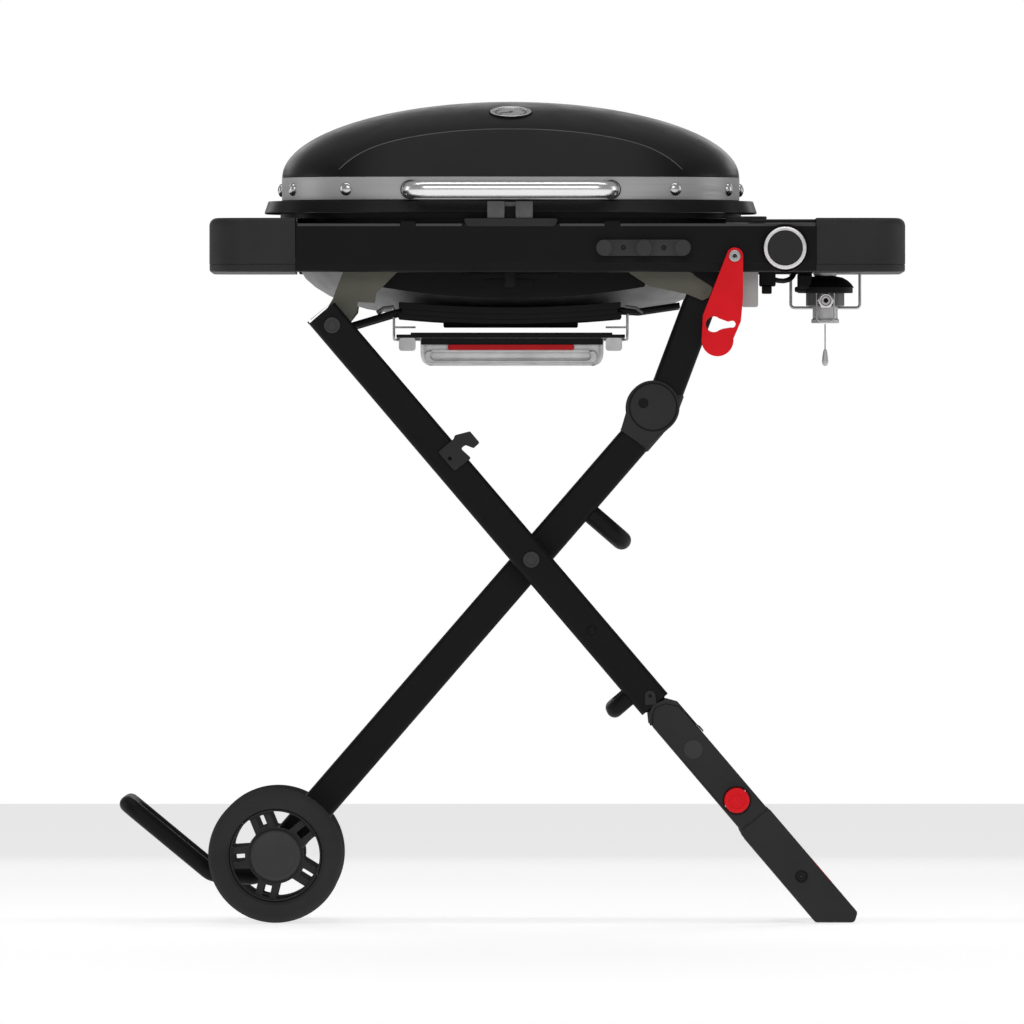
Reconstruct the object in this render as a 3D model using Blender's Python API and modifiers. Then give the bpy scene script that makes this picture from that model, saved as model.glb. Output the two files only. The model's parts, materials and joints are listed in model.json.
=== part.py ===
"""Folding gas barbecue grill with a cart stand.

Metres, +Z up, +X to the grill's right as its user faces it, -Y towards the user.
The origin is on the ground, under the middle of the whole grill.
"""
import math

import bmesh
import bpy
from mathutils import Matrix, Vector

# ---- shared sizes -----------------------------------------------------------
GAP = 0.0003            # between pieces that touch
CLEAR = 0.0005          # between a turning piece and its neighbour
PIN_RADIUS = 0.0050
CAP_RADIUS = 0.0092

# ---- stand: pivots in the X-Z plane -----------------------------------------
LEG_PIVOT = (-0.2064, 0.6851)
CROSS_PIVOT = (0.0221, 0.4163)
KNEE_PIVOT = (0.1508, 0.5957)
ARM_PIVOT = (0.2213, 0.7240)
WHEEL_CENTRE = (-0.2711, 0.0772)
FOOT_PIVOT = (0.2080, 0.1987)
FOOT_BAR_AXIS = (-0.4418, 0.1354)
STAND_BAR_AXIS = (0.1260, 0.4385)
CROSSBAR_AXIS = (0.1179, 0.2443)
HANDLE_BAR_AXIS = (0.3321, 0.0528)

LEG_WIDTH = 0.0386
INNER_WIDTH = 0.0376
LEG_WALL = 0.0015
LEG_ROUND = 0.0050
CORE_ROUND = 0.0029
LEG_OVERHANG = 0.0213   # of the outer leg above its pivot
OUTER_Y = (0.1970, 0.2220)
INNER_Y = (0.1650, 0.1900)
BRACKET_Y = (0.1920, 0.1950)
BOOT_Y = (0.1955, 0.2240)
CAP_Y = 0.2250
BAR_RADIUS = 0.0097
STAND_BAR_RADIUS = 0.0109

FOOT_SEAT = 0.0675      # from the foot pivot up to the outer tube's end
TONGUE_Y = (0.2055, 0.2135)
TONGUE_HALF = 0.0120
BOOT_WALL = 0.0035
BUTTON_ALONG = 0.0770   # from the foot pivot down the boot
BUTTON_RADIUS = 0.0144

# ---- wheels -----------------------------------------------------------------
WHEEL_Y = (0.2280, 0.2620)
TYRE_RADIUS = 0.0772
RIM_RADIUS = 0.0526
HUB_RADIUS = 0.0293
AXLE_RADIUS = 0.0050
SPOKES = 5

# ---- body -------------------------------------------------------------------
PANEL_X = (-0.2470, 0.3490)
PANEL_Z = (0.7464, 0.8021)
PANEL_FRONT = 0.2220
PANEL_DEPTH = 0.0260
PANEL_WALL = 0.0022
TABLE_X = 0.4515
TABLE_Z = (0.7462, 0.8085)
TABLE_WALL = 0.0030
DECK_LOW = (0.2700, -0.1955, 0.8030)    # the right table's tongue up to the bowl's rim
DECK_HIGH = (0.3560, 0.1955, 0.8070)
LID_X = -0.0015
LID_HALF = (0.2635, 0.2050)
LID_BASE = 0.8565
LID_TOP = 0.9440
BAND_Z = (0.8292, 0.8562)
RIM_Z = (0.8120, 0.8286)
SHELL_WALL = 0.0025
LID_HINGE = (0.2160, 0.8350)    # Y and Z
GAUGE = (-0.1080, 0.9318)        # Y and Z of the thermometer's seat
HANDLE_Y = -0.2470
HANDLE_Z = 0.8409
HANDLE_HALF = 0.1156
HANDLE_RADIUS = 0.0098
KNOB_AXIS = (0.3132, 0.7737)
LEVER_PIVOT = (0.2555, 0.7646)
LEVER_Y = (-0.2290, -0.2260)
REGULATOR = (0.3602, -0.1100)   # X and Y
TRAY_X = 0.1070
TRAY_Z = (0.6400, 0.6735)
TRAY_HALF_DEPTH = 0.1400

# ---- finishes: colour, roughness, metallic ----------------------------------
FINISHES = {
    "black_enamel": ((0.030, 0.030, 0.031), 0.35, 0.3),
    "black_paint": ((0.012, 0.012, 0.013), 0.45, 0.2),
    "black_plastic": ((0.028, 0.028, 0.030), 0.55, 0.0),
    "rubber": ((0.020, 0.020, 0.021), 0.75, 0.0),
    "steel": ((0.50, 0.50, 0.50), 0.35, 1.0),
    "polished_steel": ((0.75, 0.75, 0.75), 0.12, 1.0),
    "grey_alloy": ((0.42, 0.42, 0.42), 0.40, 0.9),
    "olive_steel": ((0.095, 0.092, 0.075), 0.50, 0.6),
    "red_plastic": ((0.58, 0.020, 0.028), 0.40, 0.0),
    "cast_iron": ((0.020, 0.020, 0.021), 0.70, 0.4),
    "brass": ((0.55, 0.38, 0.14), 0.35, 1.0),
    "hose": ((0.015, 0.015, 0.015), 0.65, 0.0),
}


def clear_scene():
    for item in list(bpy.data.objects):
        bpy.data.objects.remove(item, do_unlink=True)


def new_collection(name):
    collection = bpy.data.collections.new(name)
    bpy.context.scene.collection.children.link(collection)
    return collection


def finish_material(name, finish):
    colour, roughness, metallic = FINISHES[finish]
    material = bpy.data.materials.new(name + "_" + finish)
    material.use_nodes = True
    shader = material.node_tree.nodes["Principled BSDF"]
    shader.inputs["Base Color"].default_value = (*colour, 1.0)
    shader.inputs["Roughness"].default_value = roughness
    shader.inputs["Metallic"].default_value = metallic
    return material


def link_part(part, finish):
    """Put a finished piece in the grill's collection with a material of its own."""
    PARTS.objects.link(part)
    part.data.materials.append(finish_material(part.name, finish))
    return part


def make_cutter(tool):
    """A shape that only cuts or joins another."""
    CUTTERS.objects.link(tool)
    tool.hide_render = True
    tool.display_type = "WIRE"
    return tool


def boolean(part, tool, operation="DIFFERENCE"):
    modifier = part.modifiers.new("cut_" + tool.name, "BOOLEAN")
    modifier.operation = operation
    modifier.object = tool
    return part


def smooth(part, angle=35.0):
    part.data.shade_smooth()
    part.data.set_sharp_from_angle(angle=math.radians(angle))
    return part


# ---- plain shapes, not yet linked -------------------------------------------
def box_shape(name, low, high, bevel=0.0, segments=1):
    size = [high[i] - low[i] for i in range(3)]
    middle = [(high[i] + low[i]) / 2 for i in range(3)]
    mesh = bpy.data.meshes.new(name)
    form = bmesh.new()
    bmesh.ops.create_cube(form, size=1.0)
    bmesh.ops.scale(form, vec=size, verts=form.verts)
    form.to_mesh(mesh)
    form.free()
    shape = bpy.data.objects.new(name, mesh)
    shape.location = middle
    if bevel:
        modifier = shape.modifiers.new("edges", "BEVEL")
        modifier.width = bevel
        modifier.segments = segments
    return shape


def bar_shape(name, start, end, width, depth_range, bevel=0.0, segments=1):
    """A square-ended bar in the X-Z plane, from start to end, over a range of Y."""
    run = Vector((end[0] - start[0], 0.0, end[1] - start[1]))
    half = run.length / 2
    low = (-half, depth_range[0], -width / 2)
    high = (half, depth_range[1], width / 2)
    shape = box_shape(name, low, high, bevel, segments)
    turn = Matrix.Rotation(-math.atan2(run.z, run.x), 4, "Y")
    centre = Vector(((start[0] + end[0]) / 2, 0.0, (start[1] + end[1]) / 2))
    shape.matrix_world = Matrix.Translation(centre) @ turn @ Matrix.Translation(shape.location)
    return shape


def rod_shape(name, centre, radius, depth_range, sides=16, bevel=0.0):
    """A round bar along Y at centre, given as X and Z."""
    mesh = bpy.data.meshes.new(name)
    form = bmesh.new()
    length = depth_range[1] - depth_range[0]
    bmesh.ops.create_cone(form, cap_ends=True, segments=sides, radius1=radius, radius2=radius, depth=length)
    bmesh.ops.rotate(form, cent=(0, 0, 0), matrix=Matrix.Rotation(math.pi / 2, 3, "X"), verts=form.verts)
    form.to_mesh(mesh)
    form.free()
    shape = bpy.data.objects.new(name, mesh)
    shape.location = (centre[0], (depth_range[0] + depth_range[1]) / 2, centre[1])
    if bevel:
        modifier = shape.modifiers.new("edges", "BEVEL")
        modifier.width = bevel
        modifier.limit_method = "ANGLE"
    return smooth(shape)


def curve_mesh(shape):
    """The evaluated curve as a welded mesh object in the same place."""
    CUTTERS.objects.link(shape)
    bpy.context.view_layer.update()
    mesh = bpy.data.meshes.new_from_object(shape.evaluated_get(bpy.context.evaluated_depsgraph_get()))
    form = bmesh.new()
    form.from_mesh(mesh)
    bmesh.ops.remove_doubles(form, verts=form.verts, dist=0.00001)
    form.to_mesh(mesh)
    form.free()
    name = shape.name
    place = shape.matrix_world.copy()
    bpy.data.objects.remove(shape)
    solid = bpy.data.objects.new(name, mesh)
    solid.matrix_world = place
    return solid


def plate_shape(name, outlines, depth_range):
    """A flat plate in the X-Z plane; the first outline is its edge, the others are holes."""
    curve = bpy.data.curves.new(name, "CURVE")
    curve.dimensions = "2D"
    curve.fill_mode = "BOTH"
    curve.extrude = (depth_range[1] - depth_range[0]) / 2
    for outline in outlines:
        spline = curve.splines.new("POLY")
        spline.points.add(len(outline) - 1)
        spline.use_cyclic_u = True
        for point, (x, z) in zip(spline.points, outline):
            point.co = (x, z, 0.0, 1.0)
    shape = bpy.data.objects.new(name, curve)
    shape.location = (0.0, (depth_range[0] + depth_range[1]) / 2, 0.0)
    shape.rotation_euler = (math.pi / 2, 0.0, 0.0)
    return curve_mesh(shape)


def tube_shape(name, points, radius, resolution=2):
    """A round tube or wire along points, with flat ends."""
    curve = bpy.data.curves.new(name, "CURVE")
    curve.dimensions = "3D"
    curve.bevel_depth = radius
    curve.bevel_resolution = resolution
    curve.use_fill_caps = True
    curve.render_resolution_u = 0
    spline = curve.splines.new("POLY")
    spline.points.add(len(points) - 1)
    for point, place in zip(spline.points, points):
        point.co = (*place, 1.0)
    return bpy.data.objects.new(name, curve)


def turned_shape(name, profile, centre, steps=32):
    """A body of revolution about Z; the profile runs down its outer side."""
    mesh = bpy.data.meshes.new(name)
    edges = [(i, i + 1) for i in range(len(profile) - 1)]
    mesh.from_pydata([(r, 0.0, z) for r, z in profile], edges, [])
    shape = bpy.data.objects.new(name, mesh)
    shape.location = centre
    modifier = shape.modifiers.new("turn", "SCREW")
    modifier.steps = steps
    modifier.render_steps = steps
    modifier.use_merge_vertices = True
    modifier.merge_threshold = 0.00005
    modifier.use_smooth_shade = True
    return shape


def bend(points, radius, steps=4):
    """The route through points, with each inner corner rounded by an arc."""
    route = [Vector(points[0])]
    for before, corner, after in zip(points, points[1:], points[2:]):
        corner = Vector(corner)
        inward = (Vector(before) - corner).normalized()
        onward = (Vector(after) - corner).normalized()
        half_angle = inward.angle(onward) / 2
        reach = min(radius / math.tan(half_angle), 0.48 * (Vector(before) - corner).length,
                    0.48 * (Vector(after) - corner).length)
        arc_radius = reach * math.tan(half_angle)
        centre = corner + (inward + onward).normalized() * (arc_radius / math.sin(half_angle))
        first = corner + inward * reach - centre
        last = corner + onward * reach - centre
        for step in range(steps + 1):
            spoke = first.normalized().slerp(last.normalized(), step / steps)
            route.append(centre + spoke * arc_radius)
    route.append(Vector(points[-1]))
    return [tuple(place) for place in route]


def arc(centre, radius, start, end, steps):
    """Points of an arc in the X-Z plane; angles in degrees, anticlockwise from +X."""
    turns = [math.radians(start + (end - start) * i / steps) for i in range(steps + 1)]
    return [(centre[0] + radius * math.cos(a), centre[1] + radius * math.sin(a)) for a in turns]


def oval_ring(half_x, half_y, power, count, centre_x=0.0):
    """Points of a rounded-rectangle oval, seen from above."""
    ring = []
    for i in range(count):
        a = 2 * math.pi * (i + 0.5) / count
        c, s = math.cos(a), math.sin(a)
        x = math.copysign(abs(c) ** (2 / power), c) * half_x
        y = math.copysign(abs(s) ** (2 / power), s) * half_y
        ring.append((centre_x + x, y))
    return ring


def lofted_shell(name, sections, thickness, count=28, capped=True):
    """A thin shell over oval sections, each (Z, half X, half Y, power), its outside first."""
    mesh = bpy.data.meshes.new(name)
    form = bmesh.new()
    rings = []
    for z, half_x, half_y, power in sections:
        rings.append([form.verts.new((x, y, z)) for x, y in oval_ring(half_x, half_y, power, count, LID_X)])
    for lower, upper in zip(rings, rings[1:]):
        for i in range(count):
            j = (i + 1) % count
            form.faces.new((lower[i], lower[j], upper[j], upper[i]))
    if capped:
        form.faces.new(rings[-1])
    bmesh.ops.recalc_face_normals(form, faces=form.faces)
    form.to_mesh(mesh)
    form.free()
    shape = bpy.data.objects.new(name, mesh)
    modifier = shape.modifiers.new("wall", "SOLIDIFY")
    modifier.thickness = thickness
    modifier.offset = -1.0
    modifier.use_even_offset = True
    return smooth(shape)


# ---- assembly helpers -------------------------------------------------------
def pivot(name, place):
    """An empty on a joint's axis, which carries the pieces that move with it."""
    holder = bpy.data.objects.new(name + "_axis", None)
    holder.location = place
    PARTS.objects.link(holder)
    return holder


def carry(holder, pieces):
    back = Matrix.Translation(-holder.location)
    for piece in pieces:
        piece.parent = holder
        piece.matrix_parent_inverse = back


def sides():
    """The front and the rear of the stand, with the sign of Y."""
    return (("front", -1.0), ("rear", 1.0))


def span(depths, sign):
    """A range of distances from the middle plane as a range of Y on one side."""
    return tuple(sorted((sign * depths[0], sign * depths[1])))


def along(start, end, distance):
    """The point at a distance from start towards end, in the X-Z plane."""
    run = Vector((end[0] - start[0], end[1] - start[1])).normalized()
    return (start[0] + run.x * distance, start[1] + run.y * distance)


LEG_RUN = Vector((FOOT_PIVOT[0] - LEG_PIVOT[0], FOOT_PIVOT[1] - LEG_PIVOT[1])).normalized()
LEG_SIDE = Vector((-LEG_RUN.y, LEG_RUN.x))


def boot_point(run, side):
    """A point from the foot pivot: along the leg, and towards its upper side."""
    place = Vector(FOOT_PIVOT) + LEG_RUN * run + LEG_SIDE * side
    return (place.x, place.y)


def hollow_bar(name, start, end, width, depths):
    """A rectangular steel tube, open at both ends."""
    bar = bar_shape(name, start, end, width, depths, LEG_ROUND, 1)
    inner = (depths[0] + LEG_WALL, depths[1] - LEG_WALL)
    past = 0.02
    core = bar_shape(name + "_core", along(start, end, -past), along(end, start, -past),
                     width - 2 * LEG_WALL, inner, CORE_ROUND)
    boolean(bar, make_cutter(core))
    return bar


def drill(part, centre, radius, depths):
    hole = rod_shape(part.name + "_hole", centre, radius, (depths[0] - 0.003, depths[1] + 0.003), 12)
    boolean(part, make_cutter(hole))


def join(part, tool):
    boolean(part, make_cutter(tool), "UNION")


# ---- stand ------------------------------------------------------------------
def tongue_outline():
    """The flat tongue from inside the outer tube's end down to the foot pivot."""
    root = LEG_WIDTH / 2 - 0.0009
    outline = [boot_point(-0.1100, -root), boot_point(-0.0710, -root), boot_point(-0.0710, -TONGUE_HALF)]
    for step in range(9):
        turn = math.pi * step / 8
        outline.append(boot_point(TONGUE_HALF * math.sin(turn), -TONGUE_HALF * math.cos(turn)))
    outline += [boot_point(-0.0710, TONGUE_HALF), boot_point(-0.0710, root), boot_point(-0.1100, root)]
    return outline


def build_outer_legs():
    pieces = []
    for side, sign in sides():
        depths = span(OUTER_Y, sign)
        top = along(LEG_PIVOT, FOOT_PIVOT, -LEG_OVERHANG)
        seat = boot_point(-FOOT_SEAT, 0.0)
        leg = hollow_bar("outer_leg_" + side, top, seat, LEG_WIDTH, depths)
        join(leg, plate_shape("tongue_" + side, [tongue_outline()], span(TONGUE_Y, sign)))
        drill(leg, LEG_PIVOT, PIN_RADIUS + CLEAR, depths)
        drill(leg, CROSS_PIVOT, PIN_RADIUS + CLEAR, depths)
        drill(leg, FOOT_PIVOT, PIN_RADIUS + CLEAR, depths)
        pieces.append(link_part(leg, "black_paint"))
        pieces.append(build_pin("cross_pin_" + side, CROSS_PIVOT, 0.1620, sign, 0.1643))
    stud = rod_shape("stud", (0.0915, 0.3348), 0.0046, (-0.2245, -0.2210), 16)
    join(pieces[0], stud)
    pieces.append(build_crossbar())
    pieces.append(build_leg_clip())
    return pieces


def build_pin(name, centre, inner_end, sign, inner_head):
    """A pivot pin with a cap outside and a washer head inside."""
    pin = rod_shape(name, centre, PIN_RADIUS, span((inner_end, CAP_Y), sign), 16)
    join(pin, rod_shape(name + "_cap", centre, CAP_RADIUS, span((0.2223, CAP_Y), sign), 20))
    join(pin, rod_shape(name + "_head", centre, CAP_RADIUS - 0.001, span((inner_end, inner_head), sign), 16))
    return link_part(pin, "grey_alloy")


def build_crossbar():
    """The tube that ties the two outer legs together, below the crossing."""
    middle = (OUTER_Y[0] + OUTER_Y[1]) / 2
    x, z = CROSSBAR_AXIS
    reach = (Vector(CROSSBAR_AXIS) - Vector(FOOT_PIVOT)).dot(LEG_SIDE) + LEG_WIDTH / 2 + GAP
    start = Vector(CROSSBAR_AXIS) - LEG_SIDE * reach
    route = [(start.x, -middle, start.y), (x, -middle, z), (x, middle, z), (start.x, middle, start.y)]
    bar = tube_shape("outer_crossbar", bend(route, 0.012, 3), 0.0095, 1)
    return link_part(bar, "black_paint")


def build_leg_clip():
    """The hook that lifts the lid lock when the stand is folded."""
    hook = [(-0.0848, 0.5395), (-0.0660, 0.5556), (-0.0484, 0.5635), (-0.0369, 0.5503),
            (-0.0466, 0.5336), (-0.0466, 0.5327), (-0.0660, 0.5177)]
    clip = plate_shape("leg_clip", [hook], (-0.2262, -0.2223))
    return link_part(clip, "black_plastic")


def boot_outline(inset):
    """The boot's edge, moved inwards by inset."""
    upper, lower = 0.0208 - inset, -0.0190 + inset
    wide_upper, wide_lower = 0.0222 - inset, -0.0222 + inset
    top = -0.0650 + inset
    outline = [boot_point(-0.0500, lower), boot_point(top + 0.004, lower + 0.008),
               boot_point(top, -0.0020), boot_point(top + 0.004, 0.0120 - inset / 2),
               boot_point(-0.0490 + inset / 2, upper - 0.001), boot_point(-0.0360, upper),
               boot_point(0.1100, upper), boot_point(0.1150, wide_upper)]
    base = inset * 1.3
    right_end = (0.3966 - inset, 0.0118 + inset)
    outline += [right_end, (0.3930 - inset, base), (0.3480 + inset, base)]
    outline += [boot_point(0.1150, wide_lower), boot_point(0.1100, lower)]
    return outline


def build_feet():
    pieces = []
    for side, sign in sides():
        boot = plate_shape("foot_boot_" + side, [boot_outline(0.0)], span(BOOT_Y, sign))
        inner = span((BOOT_Y[0] + BOOT_WALL, BOOT_Y[1] - BOOT_WALL), sign)
        boolean(boot, make_cutter(plate_shape("boot_room_" + side, [boot_outline(BOOT_WALL)], inner)))
        slot = [boot_point(-0.0900, -0.0400), boot_point(-0.0900, 0.0140), boot_point(0.0140, 0.0140),
                boot_point(0.0140, -0.0400)]
        gap = span((TONGUE_Y[0] - 0.0010, TONGUE_Y[1] + 0.0010), sign)
        boolean(boot, make_cutter(plate_shape("boot_slot_" + side, [slot], gap)))
        button_at = boot_point(BUTTON_ALONG, 0.0)
        outer_wall = span((BOOT_Y[1] - BOOT_WALL - 0.001, BOOT_Y[1] + 0.001), sign)
        hole = rod_shape("button_hole_" + side, button_at, BUTTON_RADIUS + CLEAR, outer_wall, 24)
        boolean(boot, make_cutter(hole))
        join(boot, rod_shape("foot_pin_" + side, FOOT_PIVOT, PIN_RADIUS, span((0.1965, 0.2230), sign), 16))
        pieces.append(link_part(boot, "black_plastic"))
    x, z = HANDLE_BAR_AXIS
    grip = rod_shape("handle_bar", (x, z), 0.0090, (-BOOT_Y[0] + GAP, BOOT_Y[0] - GAP), 20)
    pieces.append(link_part(grip, "black_paint"))
    return pieces


def build_button(side, sign):
    place = boot_point(BUTTON_ALONG, 0.0)
    depths = span((0.2150, 0.2290), sign)
    button = rod_shape("release_button_" + side, place, BUTTON_RADIUS, depths, 24, 0.0010)
    return link_part(button, "red_plastic")


def build_inner_legs():
    pieces = []
    for side, sign in sides():
        depths = span(INNER_Y, sign)
        low_end = along(WHEEL_CENTRE, CROSS_PIVOT, -0.0210)
        high_end = along(CROSS_PIVOT, WHEEL_CENTRE, -0.2080)
        leg = hollow_bar("inner_leg_" + side, low_end, high_end, INNER_WIDTH, depths)
        drill(leg, WHEEL_CENTRE, AXLE_RADIUS + GAP, depths)
        drill(leg, CROSS_PIVOT, PIN_RADIUS + CLEAR, depths)
        pieces.append(link_part(leg, "black_paint"))
        pieces.append(build_knuckle(side, sign))
    axle = rod_shape("wheel_axle", WHEEL_CENTRE, AXLE_RADIUS, (-0.2560, 0.2560), 16)
    pieces.append(link_part(axle, "steel"))
    pieces.append(build_stand_bar())
    pieces.append(build_foot_bar())
    return pieces


def build_knuckle(side, sign):
    """The knee's cover: a round plate with a tail down the inner leg."""
    disc = (0.1620, 0.5915)
    radius = 0.0305
    tail = [(0.1543, 0.5441), (0.1255, 0.5641)]
    outline = arc(disc, radius, -48.0, 190.0, 24) + [tail[1], tail[0]]
    hole = arc(KNEE_PIVOT, PIN_RADIUS + CLEAR, 0.0, 337.5, 15)
    knuckle = plate_shape("knee_cover_" + side, [outline, hole], span((0.1903, 0.1948), sign))
    return link_part(knuckle, "black_plastic")


def leg_start(axis):
    """Where a bar's arm leaves the inner leg's lower edge, square to the leg."""
    run = (Vector(CROSS_PIVOT) - Vector(WHEEL_CENTRE)).normalized()
    normal = Vector((run.y, -run.x))
    offset = (Vector(axis) - Vector(CROSS_PIVOT)).dot(normal)
    return Vector(axis) - normal * (offset - INNER_WIDTH / 2 - GAP)


def build_stand_bar():
    """The bar that carries the folded grill when it lies on its back."""
    middle = (INNER_Y[0] + INNER_Y[1]) / 2
    x, z = STAND_BAR_AXIS
    start = leg_start(STAND_BAR_AXIS)
    route = [(start.x, -middle, start.y), (x, -middle, z), (x, middle, z), (start.x, middle, start.y)]
    return link_part(tube_shape("stand_bar", bend(route, 0.020, 4), STAND_BAR_RADIUS, 1), "black_paint")


def build_foot_bar():
    """The bar behind the wheels that the folded grill stands upright on."""
    middle = (INNER_Y[0] + INNER_Y[1]) / 2
    leg_end = along(WHEEL_CENTRE, CROSS_PIVOT, -0.0213)
    low = along(WHEEL_CENTRE, CROSS_PIVOT, -0.0330)
    corner = (-0.3450, 0.0560)
    x, z = FOOT_BAR_AXIS
    half = [(leg_end[0], leg_end[1]), (low[0] - 0.002, low[1]), corner, (x, z)]
    route = [(px, -middle, pz) for px, pz in half] + [(px, middle, pz) for px, pz in reversed(half)]
    return link_part(tube_shape("foot_bar", bend(route, 0.020, 4), BAR_RADIUS, 1), "black_paint")


def build_arms():
    pieces = []
    lean = Vector((ARM_PIVOT[0] - KNEE_PIVOT[0], ARM_PIVOT[1] - KNEE_PIVOT[1]))
    axis_angle = math.atan2(lean.y, lean.x) + math.radians(8.2)
    run = Vector((math.cos(axis_angle), math.sin(axis_angle)))
    low = Vector(ARM_PIVOT) - run * 0.1440
    high = Vector(ARM_PIVOT) + run * 0.0170
    for side, sign in sides():
        depths = span(INNER_Y, sign)
        arm = hollow_bar("upper_arm_" + side, tuple(low), tuple(high), INNER_WIDTH, depths)
        ear = rod_shape("arm_ear_" + side, KNEE_PIVOT, 0.0110, span((0.1752, 0.1895), sign), 20)
        join(arm, ear)
        join(arm, rod_shape("knee_pin_" + side, KNEE_PIVOT, PIN_RADIUS, span((0.1760, 0.1952), sign), 16))
        pieces.append(link_part(arm, "black_paint"))
    return pieces


# ---- wheels -----------------------------------------------------------------
def build_wheel(side, sign):
    tyre_half = (WHEEL_Y[1] - WHEEL_Y[0]) / 2
    middle = sign * (WHEEL_Y[0] + WHEEL_Y[1]) / 2
    shoulder = 0.0055
    inner = RIM_RADIUS + GAP
    profile = [(inner, tyre_half - 0.002), (inner + 0.004, tyre_half), (TYRE_RADIUS - shoulder, tyre_half),
               (TYRE_RADIUS - 0.0014, tyre_half - 0.0030), (TYRE_RADIUS, tyre_half - 0.0085),
               (TYRE_RADIUS, -tyre_half + 0.0085), (TYRE_RADIUS - 0.0014, -tyre_half + 0.0030),
               (TYRE_RADIUS - shoulder, -tyre_half), (inner + 0.004, -tyre_half), (inner, -tyre_half + 0.002),
               (inner, tyre_half - 0.002)]
    tyre = turned_shape("tyre_" + side, profile, (WHEEL_CENTRE[0], middle, WHEEL_CENTRE[1]), 32)
    tyre.rotation_euler = (math.pi / 2, 0.0, 0.0)
    link_part(tyre, "rubber")
    depths = span((WHEEL_Y[0] + 0.0030, WHEEL_Y[1] - 0.0030), sign)
    rim = rod_shape("wheel_" + side, WHEEL_CENTRE, RIM_RADIUS, depths, 32)
    through = (depths[0] - 0.01, depths[1] + 0.01)
    room = rod_shape("rim_room_" + side, WHEEL_CENTRE, RIM_RADIUS - 0.0060, through, 32)
    boolean(rim, make_cutter(room))
    hub_depths = span((WHEEL_Y[0] + 0.0005, WHEEL_Y[1]), sign)
    join(rim, rod_shape("hub_" + side, WHEEL_CENTRE, HUB_RADIUS, hub_depths, 24))
    spoke_depths = span((WHEEL_Y[0] + 0.0080, WHEEL_Y[1] - 0.0060), sign)
    for spoke in range(SPOKES):
        a = math.radians(40.0 + 360.0 * spoke / SPOKES)
        reach = RIM_RADIUS - 0.003
        tip = (WHEEL_CENTRE[0] + reach * math.cos(a), WHEEL_CENTRE[1] + reach * math.sin(a))
        join(rim, bar_shape("spoke_%s_%d" % (side, spoke), along(WHEEL_CENTRE, tip, HUB_RADIUS - 0.006), tip,
                            0.0240, spoke_depths))
    bore = span((WHEEL_Y[0] - 0.002, 0.2565), sign)
    boolean(rim, make_cutter(rod_shape("bore_" + side, WHEEL_CENTRE, AXLE_RADIUS + GAP, bore, 16)))
    link_part(rim, "black_plastic")
    return [rim, tyre]


# ---- body of the grill ------------------------------------------------------
def build_cook_box():
    sections = [(RIM_Z[1], 0.2790, 0.2050, 4.0), (RIM_Z[1] - 0.006, 0.2840, 0.2100, 4.0),
                (RIM_Z[0], 0.2440, 0.1590, 3.4), (0.7464, 0.2400, 0.1500, 3.2),
                (0.7165, 0.2050, 0.1250, 3.0), (0.7000, 0.1500, 0.0950, 2.8)]
    link_part(lofted_shell("cook_box", sections, SHELL_WALL), "black_enamel")


def build_heat_shield():
    """The pressed shield and grease funnel under the bowl, open in the middle."""
    sections = [(0.6995, 0.1300, 0.0900, 3.4), (0.6850, 0.1255, 0.0850, 3.4), (0.6838, 0.0760, 0.0650, 3.2),
                (0.6772, 0.0700, 0.0600, 3.2)]
    link_part(lofted_shell("heat_shield", sections, 0.0015, 28, False), "black_enamel")


def build_grates():
    bar = 0.0050
    for side, low_x in (("left", -0.1900), ("right", 0.0030)):
        high_x = low_x + 0.1870
        grate = box_shape("grate_" + side, (low_x, -0.1250, 0.7960), (high_x, 0.1250, 0.8040))
        pitch = (high_x - low_x - bar) / 9
        for slot in range(9):
            x = low_x + bar + slot * pitch
            tool = box_shape("slot_%s_%d" % (side, slot), (x, -0.1180, 0.790),
                             (x + pitch - bar, 0.1180, 0.810))
            boolean(grate, make_cutter(tool))
        link_part(grate, "cast_iron")


def build_burner():
    route = [(0.1900, -0.0550, 0.7450), (-0.1500, -0.0550, 0.7450), (-0.1500, 0.0550, 0.7450),
             (0.1700, 0.0550, 0.7450)]
    link_part(tube_shape("burner_tube", bend(route, 0.040, 4), 0.0090, 1), "steel")


def build_front_panel():
    low = (PANEL_X[0], -PANEL_FRONT, PANEL_Z[0])
    high = (PANEL_X[1], -PANEL_FRONT + PANEL_DEPTH, PANEL_Z[1])
    panel = box_shape("front_panel", low, high, 0.0015)
    room = box_shape("panel_room", (low[0] - 0.01, low[1] + PANEL_WALL, low[2] + PANEL_WALL),
                     (high[0] + 0.01, high[1] + 0.01, high[2] - PANEL_WALL))
    boolean(panel, make_cutter(room))
    drill(panel, KNOB_AXIS, 0.0062, (-PANEL_FRONT, -PANEL_FRONT + PANEL_WALL))
    drill(panel, LEVER_PIVOT, 0.0032, (-PANEL_FRONT, -PANEL_FRONT + PANEL_WALL))
    link_part(panel, "black_paint")


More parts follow.
